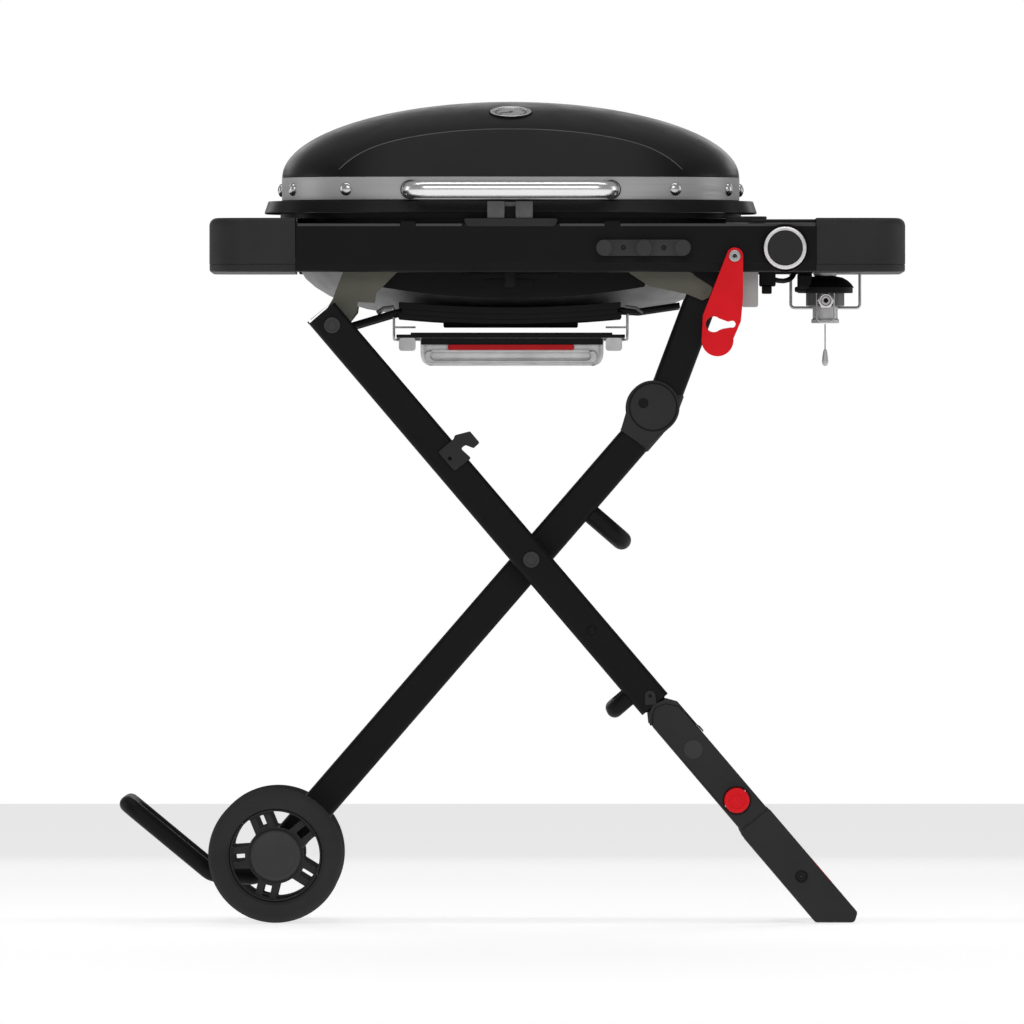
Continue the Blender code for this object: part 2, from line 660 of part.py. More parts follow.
def build_rear_panel():
    low = (PANEL_X[0], PANEL_FRONT - PANEL_DEPTH, PANEL_Z[0])
    high = (PANEL_X[1], PANEL_FRONT, PANEL_Z[1])
    panel = box_shape("rear_panel", low, high, 0.0015)
    room = box_shape("rear_room", (low[0] - 0.01, low[1] - 0.01, low[2] + PANEL_WALL),
                     (high[0] + 0.01, high[1] - PANEL_WALL, high[2] - PANEL_WALL))
    boolean(panel, make_cutter(room))
    y, z = LID_HINGE
    for x in (-0.105, 0.095):
        join(panel, box_shape("hinge_post_%d" % (x > 0), (x, y - 0.004, PANEL_Z[1] - 0.001),
                              (x + 0.008, y + 0.005, z + 0.0065)))
    tool = box_shape("hinge_rod_room", (-0.120, y - 0.0034, z - 0.0034), (0.120, y + 0.0034, z + 0.0034))
    boolean(panel, make_cutter(tool))
    link_part(panel, "black_paint")
    mesh = rod_shape("lid_hinge_rod", (0.0, 0.0), 0.0030, (-0.108, 0.108), 12)
    mesh.rotation_euler = (0.0, 0.0, math.pi / 2)
    mesh.location = (0.0, y, z)
    link_part(mesh, "steel")


def build_tables():
    """The moulded end shelves, hollow and open towards the bowl."""
    for side, sign, inner in (("left", -1.0, -PANEL_X[0]), ("right", 1.0, PANEL_X[1])):
        start = inner + GAP
        end = TABLE_X if sign > 0 else 0.3475
        xs = sorted((sign * start, sign * end))
        low = (xs[0], -PANEL_FRONT, TABLE_Z[0])
        high = (xs[1], PANEL_FRONT, TABLE_Z[1])
        table = box_shape("side_table_" + side, low, high, 0.0070, 2)
        open_by = 0.01
        room_x = (xs[0] + TABLE_WALL, xs[1] + open_by) if sign < 0 else (xs[0] - open_by, xs[1] - TABLE_WALL)
        room_low = (room_x[0], low[1] + TABLE_WALL, low[2] + TABLE_WALL)
        room_high = (room_x[1], high[1] - TABLE_WALL, high[2] - TABLE_WALL)
        room = box_shape("table_room_" + side, room_low, room_high, 0.0040, 2)
        boolean(table, make_cutter(room))
        if side == "right":
            join(table, box_shape("table_deck", DECK_LOW, DECK_HIGH))
        link_part(table, "black_plastic")


def build_brackets():
    reach = 0.7950
    left = [(-0.1943, reach), (-0.1943, 0.7458), (-0.2056, 0.7159)]
    left += arc(LEG_PIVOT, 0.0150, 150.0, 300.0, 6)
    left += [(-0.1846, 0.6932), (-0.1782, 0.7013), (-0.1768, 0.7118), (-0.1573, 0.7109), (-0.1555, 0.7222),
             (-0.1322, 0.7458), (-0.1322, reach)]
    right = [(0.1341, reach), (0.1341, 0.7458), (0.1576, 0.7300), (0.2011, 0.7209), (0.2188, 0.7136),
             (0.2263, 0.7174), (0.2299, 0.7300), (0.2299, reach)]
    for side, sign in sides():
        depths = span(BRACKET_Y, sign)
        hanger = plate_shape("leg_bracket_left_" + side, [left], depths)
        join(hanger, rod_shape("leg_pin_" + side, LEG_PIVOT, PIN_RADIUS, span((0.1935, CAP_Y), sign), 16))
        join(hanger, rod_shape("leg_pin_cap_" + side, LEG_PIVOT, CAP_RADIUS, span((0.2223, CAP_Y), sign), 20))
        link_part(hanger, "olive_steel")
        link_part(plate_shape("leg_bracket_right_" + side, [right], depths), "olive_steel")


def build_controls():
    """The gas valve and, on it, the stem and knob."""
    x, z = KNOB_AXIS
    valve = box_shape("gas_valve", (x - 0.013, -0.1990, z - 0.014), (x + 0.013, -0.1700, z + 0.014), 0.002)
    drill(valve, KNOB_AXIS, 0.0052, (-0.1990, -0.1850))
    join(valve, box_shape("valve_link", (0.3010, -0.1750, 0.7640), (0.3200, -0.1350, 0.7800)))
    join(valve, box_shape("valve_body", (0.2840, -0.1580, 0.7300), (0.3030, -0.1300, 0.7750), 0.0015))
    link_part(valve, "black_paint")
    route = [(0.3044, -0.1400, 0.7385), (0.3100, -0.1390, 0.7375), (0.3160, -0.1330, 0.7370),
             (0.3210, -0.1230, 0.7370), (0.3255, -0.1140, 0.7370)]
    link_part(tube_shape("gas_hose", route, 0.0029, 2), "hose")
    holder = box_shape("hanger_plate", (0.2636, -BRACKET_Y[1], 0.7060),
                       (0.2826, -BRACKET_Y[0] - 0.0005, 0.7900), 0.001)
    link_part(holder, "grey_alloy")
    stem = rod_shape("valve_stem", KNOB_AXIS, 0.0048, (-0.2330, -0.1900), 16)
    link_part(stem, "brass")
    knob = rod_shape("control_knob", KNOB_AXIS, 0.0196, (-0.2450, -0.2270), 32, 0.0010)
    boolean(knob, make_cutter(rod_shape("knob_socket", KNOB_AXIS, 0.0048 + GAP, (-0.2333, -0.2200), 16)))
    link_part(knob, "black_plastic")
    ring = rod_shape("knob_ring", KNOB_AXIS, 0.0245, (-0.2440, -0.2280), 32, 0.0010)
    boolean(ring, make_cutter(rod_shape("ring_room", KNOB_AXIS, 0.0196 + GAP, (-0.2600, -0.2200), 32)))
    link_part(ring, "polished_steel")
    return stem, [knob, ring]


def build_hook_rail():
    rail = box_shape("tool_hook_rail", (0.0965, -0.2280, 0.7649),
                     (0.2053, -PANEL_FRONT - GAP, 0.7833), 0.0025)
    for x in (0.1056, 0.1513, 0.1958):
        join(rail, rod_shape("peg_%d" % round(x * 1000), (x, 0.7740), 0.0092, (-0.2440, -0.2270), 20))
    link_part(rail, "black_plastic")


def build_lever():
    boss = LEVER_PIVOT
    foot = (0.2357, 0.6678)
    outline = arc(boss, 0.0097, 0.0, 145.0, 8) + [(0.2188, 0.6963)]
    outline += arc(foot, 0.0184, 170.0, 366.0, 14) + [(0.2625, 0.6894), (0.2649, 0.7147)]
    keyhole = arc((0.2314, 0.6862), 0.0095, 30.0, 330.0, 14) + arc((0.2525, 0.6863), 0.0039, -90.0, 90.0, 6)
    screw_hole = arc(boss, 0.0028, 0.0, 337.5, 15)
    lever = plate_shape("lock_lever", [outline, keyhole, screw_hole], LEVER_Y)
    return [link_part(lever, "red_plastic")]


def build_regulator():
    x, y = REGULATOR
    top = TABLE_Z[0] - GAP
    profile = [(0.0, top), (0.0132, top), (0.0132, 0.7425), (0.0200, 0.7415), (0.0290, 0.7360),
               (0.0330, 0.7280),
               (0.0330, 0.7225), (0.0220, 0.7220), (0.0220, 0.7077), (0.0150, 0.7077), (0.0150, 0.6930),
               (0.0190, 0.6920), (0.0190, 0.6880), (0.0, 0.6880)]
    body = turned_shape("regulator", profile, (x, y, 0.0), 24)
    link_part(body, "grey_alloy")
    wire = 0.0017
    left, right, bottom = 0.3211, 0.4005, 0.7060
    plane = y + 0.0450
    route = [(left, plane, top), (left, plane, bottom), (right, plane, bottom), (right, plane, top)]
    link_part(tube_shape("cylinder_bracket", bend(route, 0.004, 2), wire, 1), "steel")
    pull = [(x, y, 0.6870), (x, y, 0.6560)]
    cord = tube_shape("regulator_pull", pull, 0.0008, 2)
    drop = [(0.0, 0.6575), (0.0020, 0.6560), (0.0037, 0.6430), (0.0, 0.6388)]
    tab = turned_shape("pull_tab", drop, (x, y, 0.0), 12)
    cord = curve_mesh(cord)
    join(cord, tab)
    return link_part(cord, "steel")


def build_latch():
    """The block that guides the lid lock, and the lock itself."""
    slot = (-0.0085, 0.0040)
    front, back = -0.2190, -0.2107
    low, high = 0.8025, 0.8274
    block = box_shape("lock_block", (-0.0285, front, low), (0.0240, back, high), 0.0010)
    join(block, box_shape("lock_ledge", (-0.0560, front + 0.0005, low + 0.0001),
                          (0.0532, back - 0.0005, 0.8075)))
    boolean(block, make_cutter(box_shape("lock_slot", (slot[0], -0.2170, 0.790), (slot[1], -0.2000, 0.840))))
    link_part(block, "grey_alloy")
    left, right = slot[0] + CLEAR, slot[1] - CLEAR
    slider = box_shape("lid_lock_slider", (left, -0.1955, 0.7290), (right, -0.1930, 0.8060))
    join(slider, box_shape("lock_web", (left, -0.2165, 0.8032), (right, -0.1940, 0.8055)))
    join(slider, box_shape("lock_tab", (left, -0.2165, 0.8040), (right, -0.2135, 0.8215)))
    return link_part(slider, "black_plastic")


def build_lid():
    height = LID_TOP - LID_BASE
    skirt = (LID_HALF[0] - 0.0032, LID_HALF[1] - 0.0032)
    sections = [(BAND_Z[0] + 0.0008, skirt[0], skirt[1], 3.0), (LID_BASE - 0.0002, skirt[0], skirt[1], 3.0),
                (LID_BASE + 0.0001, LID_HALF[0], LID_HALF[1], 3.0)]
    for lift in (0.22, 0.45, 0.66, 0.82, 0.93):
        share = math.sqrt(1.0 - lift * lift)
        power = 3.0 - 0.9 * lift
        sections.append((LID_BASE + height * lift, LID_HALF[0] * share, LID_HALF[1] * share, power))
    sections.append((LID_TOP, 0.0600, 0.0470, 2.0))
    shell = lofted_shell("lid_shell", sections, 0.0020, 28)
    boolean(shell, make_cutter(rod_like_z("gauge_hole", (0.0, GAUGE[0]), 0.0115, 0.9000, 0.9600)))
    pieces = [link_part(shell, "black_enamel")]
    band_sections = [(BAND_Z[0], LID_HALF[0] + 0.0003, LID_HALF[1] + 0.0003, 3.0),
                     (BAND_Z[1], LID_HALF[0] + 0.0003, LID_HALF[1] + 0.0003, 3.0)]
    band = lofted_shell("lid_band", band_sections, 0.0025, 28, False)
    pieces.append(link_part(band, "steel"))
    ends = -LID_HALF[1] - 0.0008
    route = [(LID_X - HANDLE_HALF, ends, HANDLE_Z), (LID_X - HANDLE_HALF, HANDLE_Y, HANDLE_Z),
             (LID_X + HANDLE_HALF, HANDLE_Y, HANDLE_Z), (LID_X + HANDLE_HALF, ends, HANDLE_Z)]
    handle = tube_shape("lid_handle", bend(route, 0.024, 5), HANDLE_RADIUS, 3)
    pieces.append(link_part(handle, "polished_steel"))
    gauge = turned_shape("thermometer", [(0.0, 0.0034), (0.0225, 0.0034), (0.0253, 0.0016), (0.0253, 0.0),
                         (0.0085, 0.0), (0.0085, -0.0060), (0.0, -0.0060)], (0.0, 0.0, 0.0), 24)
    gauge.matrix_world = gauge_place()
    pieces.append(link_part(gauge, "steel"))
    pieces.append(build_hinge_leaf())
    return pieces


def gauge_place():
    """The thermometer's seat on the dome's front slope."""
    return Matrix.Translation((LID_X, *GAUGE)) @ Matrix.Rotation(math.radians(14.6), 4, "X")


def rod_like_z(name, centre, radius, low, high):
    mesh = bpy.data.meshes.new(name)
    form = bmesh.new()
    bmesh.ops.create_cone(form, cap_ends=True, segments=24, radius1=radius, radius2=radius, depth=high - low)
    form.to_mesh(mesh)
    form.free()
    shape = bpy.data.objects.new(name, mesh)
    shape.location = (LID_X + centre[0], centre[1], (low + high) / 2)
    return shape


def build_hinge_leaf():
    """The strap on the lid's band that turns on the hinge rod."""
    y, z = LID_HINGE
    leaf = box_shape("lid_hinge_leaf", (-0.0940, LID_HALF[1] + 0.0007, z - 0.0045),
                     (0.0940, LID_HALF[1] + 0.0035, z + 0.0180), 0.0005)
    join(leaf, box_shape("leaf_web", (-0.0940, LID_HALF[1] + 0.0030, z - 0.0045),
                         (0.0940, y + 0.0050, z + 0.0050)))
    tool = rod_shape("leaf_bore", (0.0, 0.0), 0.0030 + GAP, (-0.110, 0.110), 16)
    tool.rotation_euler = (0.0, 0.0, math.pi / 2)
    tool.location = (0.0, y, z)
    boolean(leaf, make_cutter(tool))
    return link_part(leaf, "black_paint")


def build_tray():
    """The sliding drip tray and the wire hanger that it runs on."""
    low = (-TRAY_X, -TRAY_HALF_DEPTH, TRAY_Z[0])
    high = (TRAY_X, TRAY_HALF_DEPTH, TRAY_Z[1] - 0.0025)
    sections = [(high[2], TRAY_X, TRAY_HALF_DEPTH, 12.0),
                (low[2] + 0.0080, TRAY_X - 0.0010, TRAY_HALF_DEPTH, 12.0),
                (low[2], TRAY_X - 0.0090, TRAY_HALF_DEPTH - 0.0080, 12.0)]
    tray = lofted_shell("drip_tray", sections, 0.0012)
    front = box_shape("tray_front", (-TRAY_X, low[1] - 0.0050, 0.6490),
                      (TRAY_X, low[1] - GAP, 0.6705), 0.0010)
    flange = box_shape("tray_flange", (-0.1330, low[1], TRAY_Z[1] - 0.0022),
                       (0.1300, high[1], TRAY_Z[1] + 0.0015), 0.0004)
    boolean(flange, make_cutter(box_shape("flange_room", (low[0] + 0.002, low[1] + 0.002, 0.65),
                                          (high[0] - 0.002, high[1] - 0.002, 0.70))))
    wire = 0.0015
    left, right = -0.1338, 0.1307
    z_low, z_top = 0.6700, 0.7060
    route = [(left - 0.0020, -0.1200, z_top), (left - 0.0020, -0.1200, z_low), (left - 0.0020, 0.1480, z_low),
             (right + 0.0020, 0.1480, z_low), (right + 0.0020, -0.1200, z_low),
             (right + 0.0020, -0.1200, z_top)]
    link_part(tube_shape("tray_hanger", bend(route, 0.006, 2), wire, 1), "steel")
    link_part(tray, "grey_alloy")
    return [tray, link_part(front, "red_plastic"), link_part(flange, "black_paint")]


# ---- the whole grill --------------------------------------------------------
def place(centre):
    return (centre[0], 0.0, centre[1])


def build():
    build_cook_box()
    build_heat_shield()
    build_grates()
    build_burner()
    build_front_panel()
    build_rear_panel()
    build_tables()
    build_brackets()
    build_hook_rail()
    carry(pivot("lid", (0.0, LID_HINGE[0], LID_HINGE[1])), build_lid())
    carry(pivot("lid_lock", (0.0, -0.2110, 0.7290)), [build_latch()])
    stem, knob_pieces = build_controls()
    carry(pivot("valve_stem", (KNOB_AXIS[0], -0.2200, KNOB_AXIS[1])), [stem])
    carry(pivot("knob", (KNOB_AXIS[0], -0.2300, KNOB_AXIS[1])), knob_pieces)
    carry(pivot("lever", place(LEVER_PIVOT)), build_lever())
    carry(pivot("regulator_pull", (REGULATOR[0], REGULATOR[1], 0.6870)), [build_regulator()])
    carry(pivot("tray", (0.0, 0.0, TRAY_Z[1])), build_tray())
    carry(pivot("outer_legs", place(LEG_PIVOT)), build_outer_legs())
    carry(pivot("foot", place(FOOT_PIVOT)), build_feet())
    carry(pivot("inner_legs", place(CROSS_PIVOT)), build_inner_legs())
    carry(pivot("upper_arms", place(KNEE_PIVOT)), build_arms())
    for side, sign in sides():
        carry(pivot("button_" + side, place(boot_point(BUTTON_ALONG, 0.0))), [build_button(side, sign)])
        carry(pivot("wheel_" + side, place(WHEEL_CENTRE)), build_wheel(side, sign))


clear_scene()
PARTS = new_collection("gas_barbecue_grill")
CUTTERS = new_collection("cutters")
build()
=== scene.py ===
"""Looks of the folding gas barbecue grill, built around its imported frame.

Metres, +Z up, +X to the grill's right as its user faces it, -Y towards the user.
Every piece is made in mesh code, rides on a CAD body, and has a node-based material.
"""
import json
import math

import bmesh
import bpy
from mathutils import Matrix, Vector


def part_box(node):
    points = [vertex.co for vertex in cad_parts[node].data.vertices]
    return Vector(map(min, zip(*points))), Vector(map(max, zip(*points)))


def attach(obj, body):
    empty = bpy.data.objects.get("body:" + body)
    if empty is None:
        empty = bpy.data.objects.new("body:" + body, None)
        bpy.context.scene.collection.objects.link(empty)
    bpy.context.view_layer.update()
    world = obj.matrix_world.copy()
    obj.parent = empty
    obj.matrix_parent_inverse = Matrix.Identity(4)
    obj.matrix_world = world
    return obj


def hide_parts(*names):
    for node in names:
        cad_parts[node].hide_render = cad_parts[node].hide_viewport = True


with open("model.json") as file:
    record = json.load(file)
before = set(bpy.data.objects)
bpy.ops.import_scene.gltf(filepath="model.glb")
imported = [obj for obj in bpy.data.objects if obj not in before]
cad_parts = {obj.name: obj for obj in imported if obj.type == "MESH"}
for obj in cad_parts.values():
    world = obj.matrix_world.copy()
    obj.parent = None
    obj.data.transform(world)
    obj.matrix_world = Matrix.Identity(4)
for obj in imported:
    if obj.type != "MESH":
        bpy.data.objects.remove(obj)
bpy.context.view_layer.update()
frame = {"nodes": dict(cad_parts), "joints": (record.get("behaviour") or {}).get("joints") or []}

JOINTS = {joint["name"]: Vector(joint["pos_m"]) for joint in frame["joints"] if joint.get("pos_m")}

# ---- view -------------------------------------------------------------------
VIEW_DISTANCE = 40.0
VIEW_WIDTH = 1.1776
VIEW_HEIGHT = 0.4709
VIEW_PLANE = 0.12               # how far in front of the middle VIEW_WIDTH is measured
SENSOR = 36.0
FLOOR_GLOW = 0.60

# ---- stand ------------------------------------------------------------------
LEG_PIVOT = JOINTS["stand_fold"].xz
CROSS_PIVOT = JOINTS["inner_leg_fold"].xz
KNEE_PIVOT = JOINTS["knee_fold"].xz
FOOT_PIVOT = JOINTS["foot_fold"].xz
WHEEL_CENTRE = JOINTS["wheel_front_spin"].xz
BUTTON_CENTRE = sum(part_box("release_button_front"), Vector()).xz / 2
ARM_PIVOT = Vector((0.2213, 0.7240))
LEG_RUN = (FOOT_PIVOT - LEG_PIVOT).normalized()
LEG_SIDE = Vector((-LEG_RUN.y, LEG_RUN.x))
LEG_WIDTH = 0.0386
INNER_WIDTH = 0.0376
OUTER_Y = (0.1970, 0.2220)
INNER_Y = (0.1650, 0.1900)
LEG_CORNER = 0.0060
CAP_RADIUS = 0.0092


# ---- finishes ---------------------------------------------------------------
class Finish:
    """Builds one procedural material; lengths are in metres."""

    def __init__(self, name, colour, rough, metallic=0.0, specular=0.5, coat=0.0, coat_rough=0.2):
        self.material = bpy.data.materials.new(name)
        self.material.use_nodes = True
        self.nodes = self.material.node_tree.nodes
        self.links = self.material.node_tree.links
        self.shader = self.nodes["Principled BSDF"]
        self.colour = colour
        self.rough = rough
        self.shader.inputs["Metallic"].default_value = metallic
        self.shader.inputs["Specular IOR Level"].default_value = specular
        self.shader.inputs["Coat Weight"].default_value = coat
        self.shader.inputs["Coat Roughness"].default_value = coat_rough
        self.coords = self.nodes.new("ShaderNodeTexCoord").outputs["Object"]
        self.normal = None

    def stretched(self, scale):
        mapping = self.nodes.new("ShaderNodeMapping")
        mapping.inputs["Scale"].default_value = scale
        self.links.new(self.coords, mapping.inputs["Vector"])
        return mapping.outputs["Vector"]

    def noise(self, size, detail=3.0, stretch=None, roughness=0.5):
        node = self.nodes.new("ShaderNodeTexNoise")
        node.inputs["Scale"].default_value = 1.0 / size
        node.inputs["Detail"].default_value = detail
        node.inputs["Roughness"].default_value = roughness
        source = self.stretched(stretch) if stretch else self.coords
        self.links.new(source, node.inputs["Vector"])
        return node.outputs["Fac"]

    def cells(self, size):
        node = self.nodes.new("ShaderNodeTexVoronoi")
        node.inputs["Scale"].default_value = 1.0 / size
        self.links.new(self.coords, node.inputs["Vector"])
        return node.outputs["Distance"]

    def spread(self, value, low, high, low_in=0.3, high_in=0.7):
        node = self.nodes.new("ShaderNodeMapRange")
        node.inputs["From Min"].default_value = low_in
        node.inputs["From Max"].default_value = high_in
        node.inputs["To Min"].default_value = low
        node.inputs["To Max"].default_value = high
        self.links.new(value, node.inputs["Value"])
        return node.outputs["Result"]

    def tint(self, value, amount):
        """Base colour from the finish's colour, lighter and darker by amount with value."""
        ramp = self.nodes.new("ShaderNodeValToRGB")
        ramp.color_ramp.elements[0].position = 0.3
        ramp.color_ramp.elements[1].position = 0.7
        ramp.color_ramp.elements[0].color = (*[c * (1 - amount) for c in self.colour], 1.0)
        ramp.color_ramp.elements[1].color = (*[min(1.0, c * (1 + amount)) for c in self.colour], 1.0)
        self.links.new(value, ramp.inputs["Fac"])
        self.links.new(ramp.outputs["Color"], self.shader.inputs["Base Color"])
        return self

    def gloss(self, value, amount):
        low, high = self.rough * (1 - amount), min(1.0, self.rough * (1 + amount))
        self.links.new(self.spread(value, low, high), self.shader.inputs["Roughness"])
        return self

    def relief(self, value, height, strength=1.0):
        bump = self.nodes.new("ShaderNodeBump")
        bump.inputs["Strength"].default_value = strength
        bump.inputs["Distance"].default_value = height
        self.links.new(value, bump.inputs["Height"])
        if self.normal:
            self.links.new(self.normal, bump.inputs["Normal"])
        self.normal = bump.outputs["Normal"]
        self.links.new(self.normal, self.shader.inputs["Normal"])
        return self


def painted(name, colour, rough, specular=0.4, metallic=0.0, grain=0.0011, height=0.00003, coat=0.0):
    """Powder-coated or enamelled metal: an even coat with fine orange peel."""
    look = Finish(name, colour, rough, metallic, specular, coat)
    look.tint(look.noise(0.09, 4.0), 0.14)
    look.gloss(look.noise(0.035, 5.0), 0.14)
    look.relief(look.noise(0.006, 2.0), height * 1.5, 0.5)
    look.relief(look.cells(grain), height, 0.5)
    return look.material


def moulded(name, colour, rough, specular=0.4, grain=0.0007, height=0.00004):
    """Moulded plastic or rubber with a spark-eroded grain."""
    look = Finish(name, colour, rough, 0.0, specular)
    look.tint(look.noise(0.06, 3.0), 0.10)
    look.gloss(look.noise(0.02, 4.0), 0.10)
    look.relief(look.noise(grain, 4.0, None, 0.7), height, 0.6)
    return look.material


def brushed(name, colour, rough, stretch, height=0.000012, amount=0.10):
    """Metal brushed in one direction: streaks of colour, gloss and relief."""
    look = Finish(name, colour, rough, 1.0)
    streaks = look.noise(0.25, 4.0, stretch, 0.65)
    look.tint(streaks, amount)
    look.gloss(look.noise(0.25, 3.0, stretch, 0.6), 0.22)
    look.relief(streaks, height, 0.6)
    return look.material


def cast(name, colour, rough, metallic, grain=0.0016, height=0.00008):
    """Cast metal with a fine sandy skin."""
    look = Finish(name, colour, rough, metallic, 0.4)
    look.tint(look.noise(0.02, 5.0), 0.16)
    look.gloss(look.noise(0.01, 4.0), 0.18)
    look.relief(look.noise(grain, 5.0, None, 0.7), height, 0.7)
    return look.material


def dial_face(name):
    look = Finish(name, (0.42, 0.42, 0.42), 0.25, 0.0, 0.5, 1.0, 0.03)
    look.tint(look.noise(0.01, 2.0), 0.05)
    look.gloss(look.noise(0.004, 3.0), 0.15)
    return look.material


AROUND = (1.0, 1.0, 160.0)      # streaks that run level
SLOPED = (24.0, 24.0, 24.0)
LOOKS = {
    "enamel": painted("black_enamel", (0.0080, 0.0080, 0.0083), 0.34, 0.17, 0.0, 0.0014, 0.00002),
    "paint": painted("black_powder_coat", (0.0060, 0.0060, 0.0064), 0.45, 0.13),
    "plastic": moulded("black_plastic", (0.0250, 0.0250, 0.0255), 0.52, 0.20),
    "cap_plastic": moulded("charcoal_plastic", (0.0420, 0.0420, 0.0425), 0.55, 0.22),
    "dark_plastic": moulded("dark_plastic", (0.0050, 0.0050, 0.0052), 0.50, 0.15),
    "rubber": moulded("tyre_rubber", (0.0260, 0.0260, 0.0265), 0.70, 0.22, 0.0012, 0.00006),
    "steel": brushed("brushed_steel", (0.50, 0.50, 0.50), 0.52, AROUND),
    "wire": brushed("plated_wire", (0.50, 0.50, 0.50), 0.32, SLOPED),
    "polished": brushed("polished_steel", (0.86, 0.86, 0.86), 0.24, AROUND, 0.000003, 0.03),
    "trim": brushed("satin_trim", (0.80, 0.78, 0.78), 0.38, SLOPED, 0.000004, 0.03),
    "screw": brushed("screw_steel", (0.62, 0.62, 0.62), 0.25, SLOPED, 0.000006, 0.06),
    "alloy": cast("grey_alloy", (0.60, 0.60, 0.60), 0.46, 0.60, 0.0016, 0.00004),
    "dark_alloy": cast("dark_alloy", (0.13, 0.13, 0.131), 0.42, 0.5),
    "bowl": cast("cast_aluminium", (0.20, 0.20, 0.20), 0.55, 0.60, 0.0022, 0.00012),
    "grey_plate": painted("grey_plate", (0.46, 0.46, 0.46), 0.45, 0.3),
    "olive": painted("olive_steel", (0.105, 0.104, 0.082), 0.48, 0.4, 0.3),
    "red": moulded("red_plastic", (0.80, 0.010, 0.018), 0.42, 0.12, 0.0006, 0.00002),
    # a darker copy of the red plastic: painted shade for the tray's red strip
    "red_painted_shade": moulded("red_plastic_painted_shade", (0.46, 0.010, 0.014), 0.45, 0.12, 0.0006, 0.00002),
    "iron": cast("cast_iron", (0.014, 0.014, 0.0145), 0.62, 0.2, 0.0018, 0.00020),
    "brass": brushed("turned_brass", (0.55, 0.38, 0.14), 0.30, SLOPED),
    "hose": moulded("hose_rubber", (0.0090, 0.0090, 0.0092), 0.60, 0.35, 0.0009, 0.00004),
    "dial": dial_face("dial_face"),
    # a lighter grey for the bead on the lid's crease: a painted highlight
    "crease": painted("crease_painted_highlight", (0.115, 0.115, 0.116), 0.30, 0.30),
    # a grey for the strips on the front rail's top edge: a painted highlight
    "edge": painted("edge_painted_highlight", (0.060, 0.060, 0.061), 0.35, 0.30),
}


# ---- mesh helpers: each adds one closed body to a bmesh ---------------------
def level(a, b, depth):
    """Frame of a plate that lies level: outline in X-Y, thickness along Z."""
    return Vector((a, b, depth))


def upright(a, b, depth):
    """Frame of a plate that faces the user: outline in X-Z, thickness along Y."""
    return Vector((a, depth, b))


def endways(a, b, depth):
    """Frame of a section that runs across: outline in Y-Z, length along X."""
    return Vector((depth, a, b))


def loft(form, rings, closed=True, loop=False):
    rows = [[form.verts.new(place) for place in ring] for ring in rings]
    count = len(rows[0])
    pairs = list(zip(rows, rows[1:]))
    if loop:
        pairs.append((rows[-1], rows[0]))
    for low, high in pairs:
        for i in range(count):
            j = (i + 1) % count
            form.faces.new((low[i], low[j], high[j], high[i]))
    if closed and not loop:
        form.faces.new(rows[0][::-1])
        form.faces.new(rows[-1])
    return rows


def turned(form, profile, place, steps=48, loop=False):
    """A body of revolution about the local Z of place; profile is (radius, height)."""
    turns = [2 * math.pi * i / steps for i in range(steps)]
    rows = []
    for radius, height in profile:
        if radius < 1e-6:
            rows.append([form.verts.new(place @ Vector((0, 0, height)))])
        else:
            rows.append([form.verts.new(place @ Vector((radius * math.cos(a), radius * math.sin(a), height)))
                         for a in turns])
    pairs = list(zip(rows, rows[1:]))
    if loop:
        pairs.append((rows[-1], rows[0]))
    for low, high in pairs:
        for i in range(steps):
            j = (i + 1) % steps
            corners = [low[i % len(low)], low[j % len(low)], high[j % len(high)], high[i % len(high)]]
            form.faces.new(list(dict.fromkeys(corners)))


def about_y(x, z):
    """Local Z becomes world Y, so a profile's heights are places in Y."""
    return Matrix(((1, 0, 0, x), (0, 0, 1, 0), (0, -1, 0, z), (0, 0, 0, 1)))


def disc(form, centre, radius, start, end, edge=0.0006, steps=40, dome=0.0):
    """A round plate or pin along Y from start to end; end is the face that shows."""
    way = 1.0 if end > start else -1.0
    profile = [(0.0, start), (radius - edge * 0.5, start), (radius, start + way * edge * 0.5), (radius, end - way * edge),
               (radius - edge * 0.3, end - way * edge * 0.3), (radius - edge, end)]
    if dome:
        for share in (0.75, 0.5, 0.25):
            profile.append(((radius - edge) * share, end + way * dome * (1 - share * share)))
    profile.append((0.0, end + way * dome))
    turned(form, profile, about_y(*centre), steps)


def ring_plate(form, centre, inner, outer, start, end, edge=0.0006, steps=64):
    """A washer along Y from start to end."""
    way = 1.0 if end > start else -1.0
    profile = [(inner, start), (outer, start), (outer, end - way * edge), (outer - edge * 0.3, end - way * edge * 0.3),
               (outer - edge, end), (inner + edge, end), (inner + edge * 0.3, end - way * edge * 0.3),
               (inner, end - way * edge)]
    turned(form, profile, about_y(*centre), steps, True)


def signed_area(outline):
    return sum(p[0] * q[1] - q[0] * p[1] for p, q in zip(outline, outline[1:] + outline[:1])) / 2


def inward(outline, inset):
    """A closed outline moved to its left by inset."""
    moved = []
    for i in range(len(outline)):
        before, here, after = (Vector(outline[(i + k) % len(outline)]) for k in (-1, 0, 1))
        a = (here - before).normalized()
        b = (after - here).normalized()
        normal_a, normal_b = Vector((-a.y, a.x)), Vector((-b.y, b.x))
        moved.append(here + (normal_a + normal_b) * (inset / max(1 + normal_a.dot(normal_b), 0.4)))
    return moved


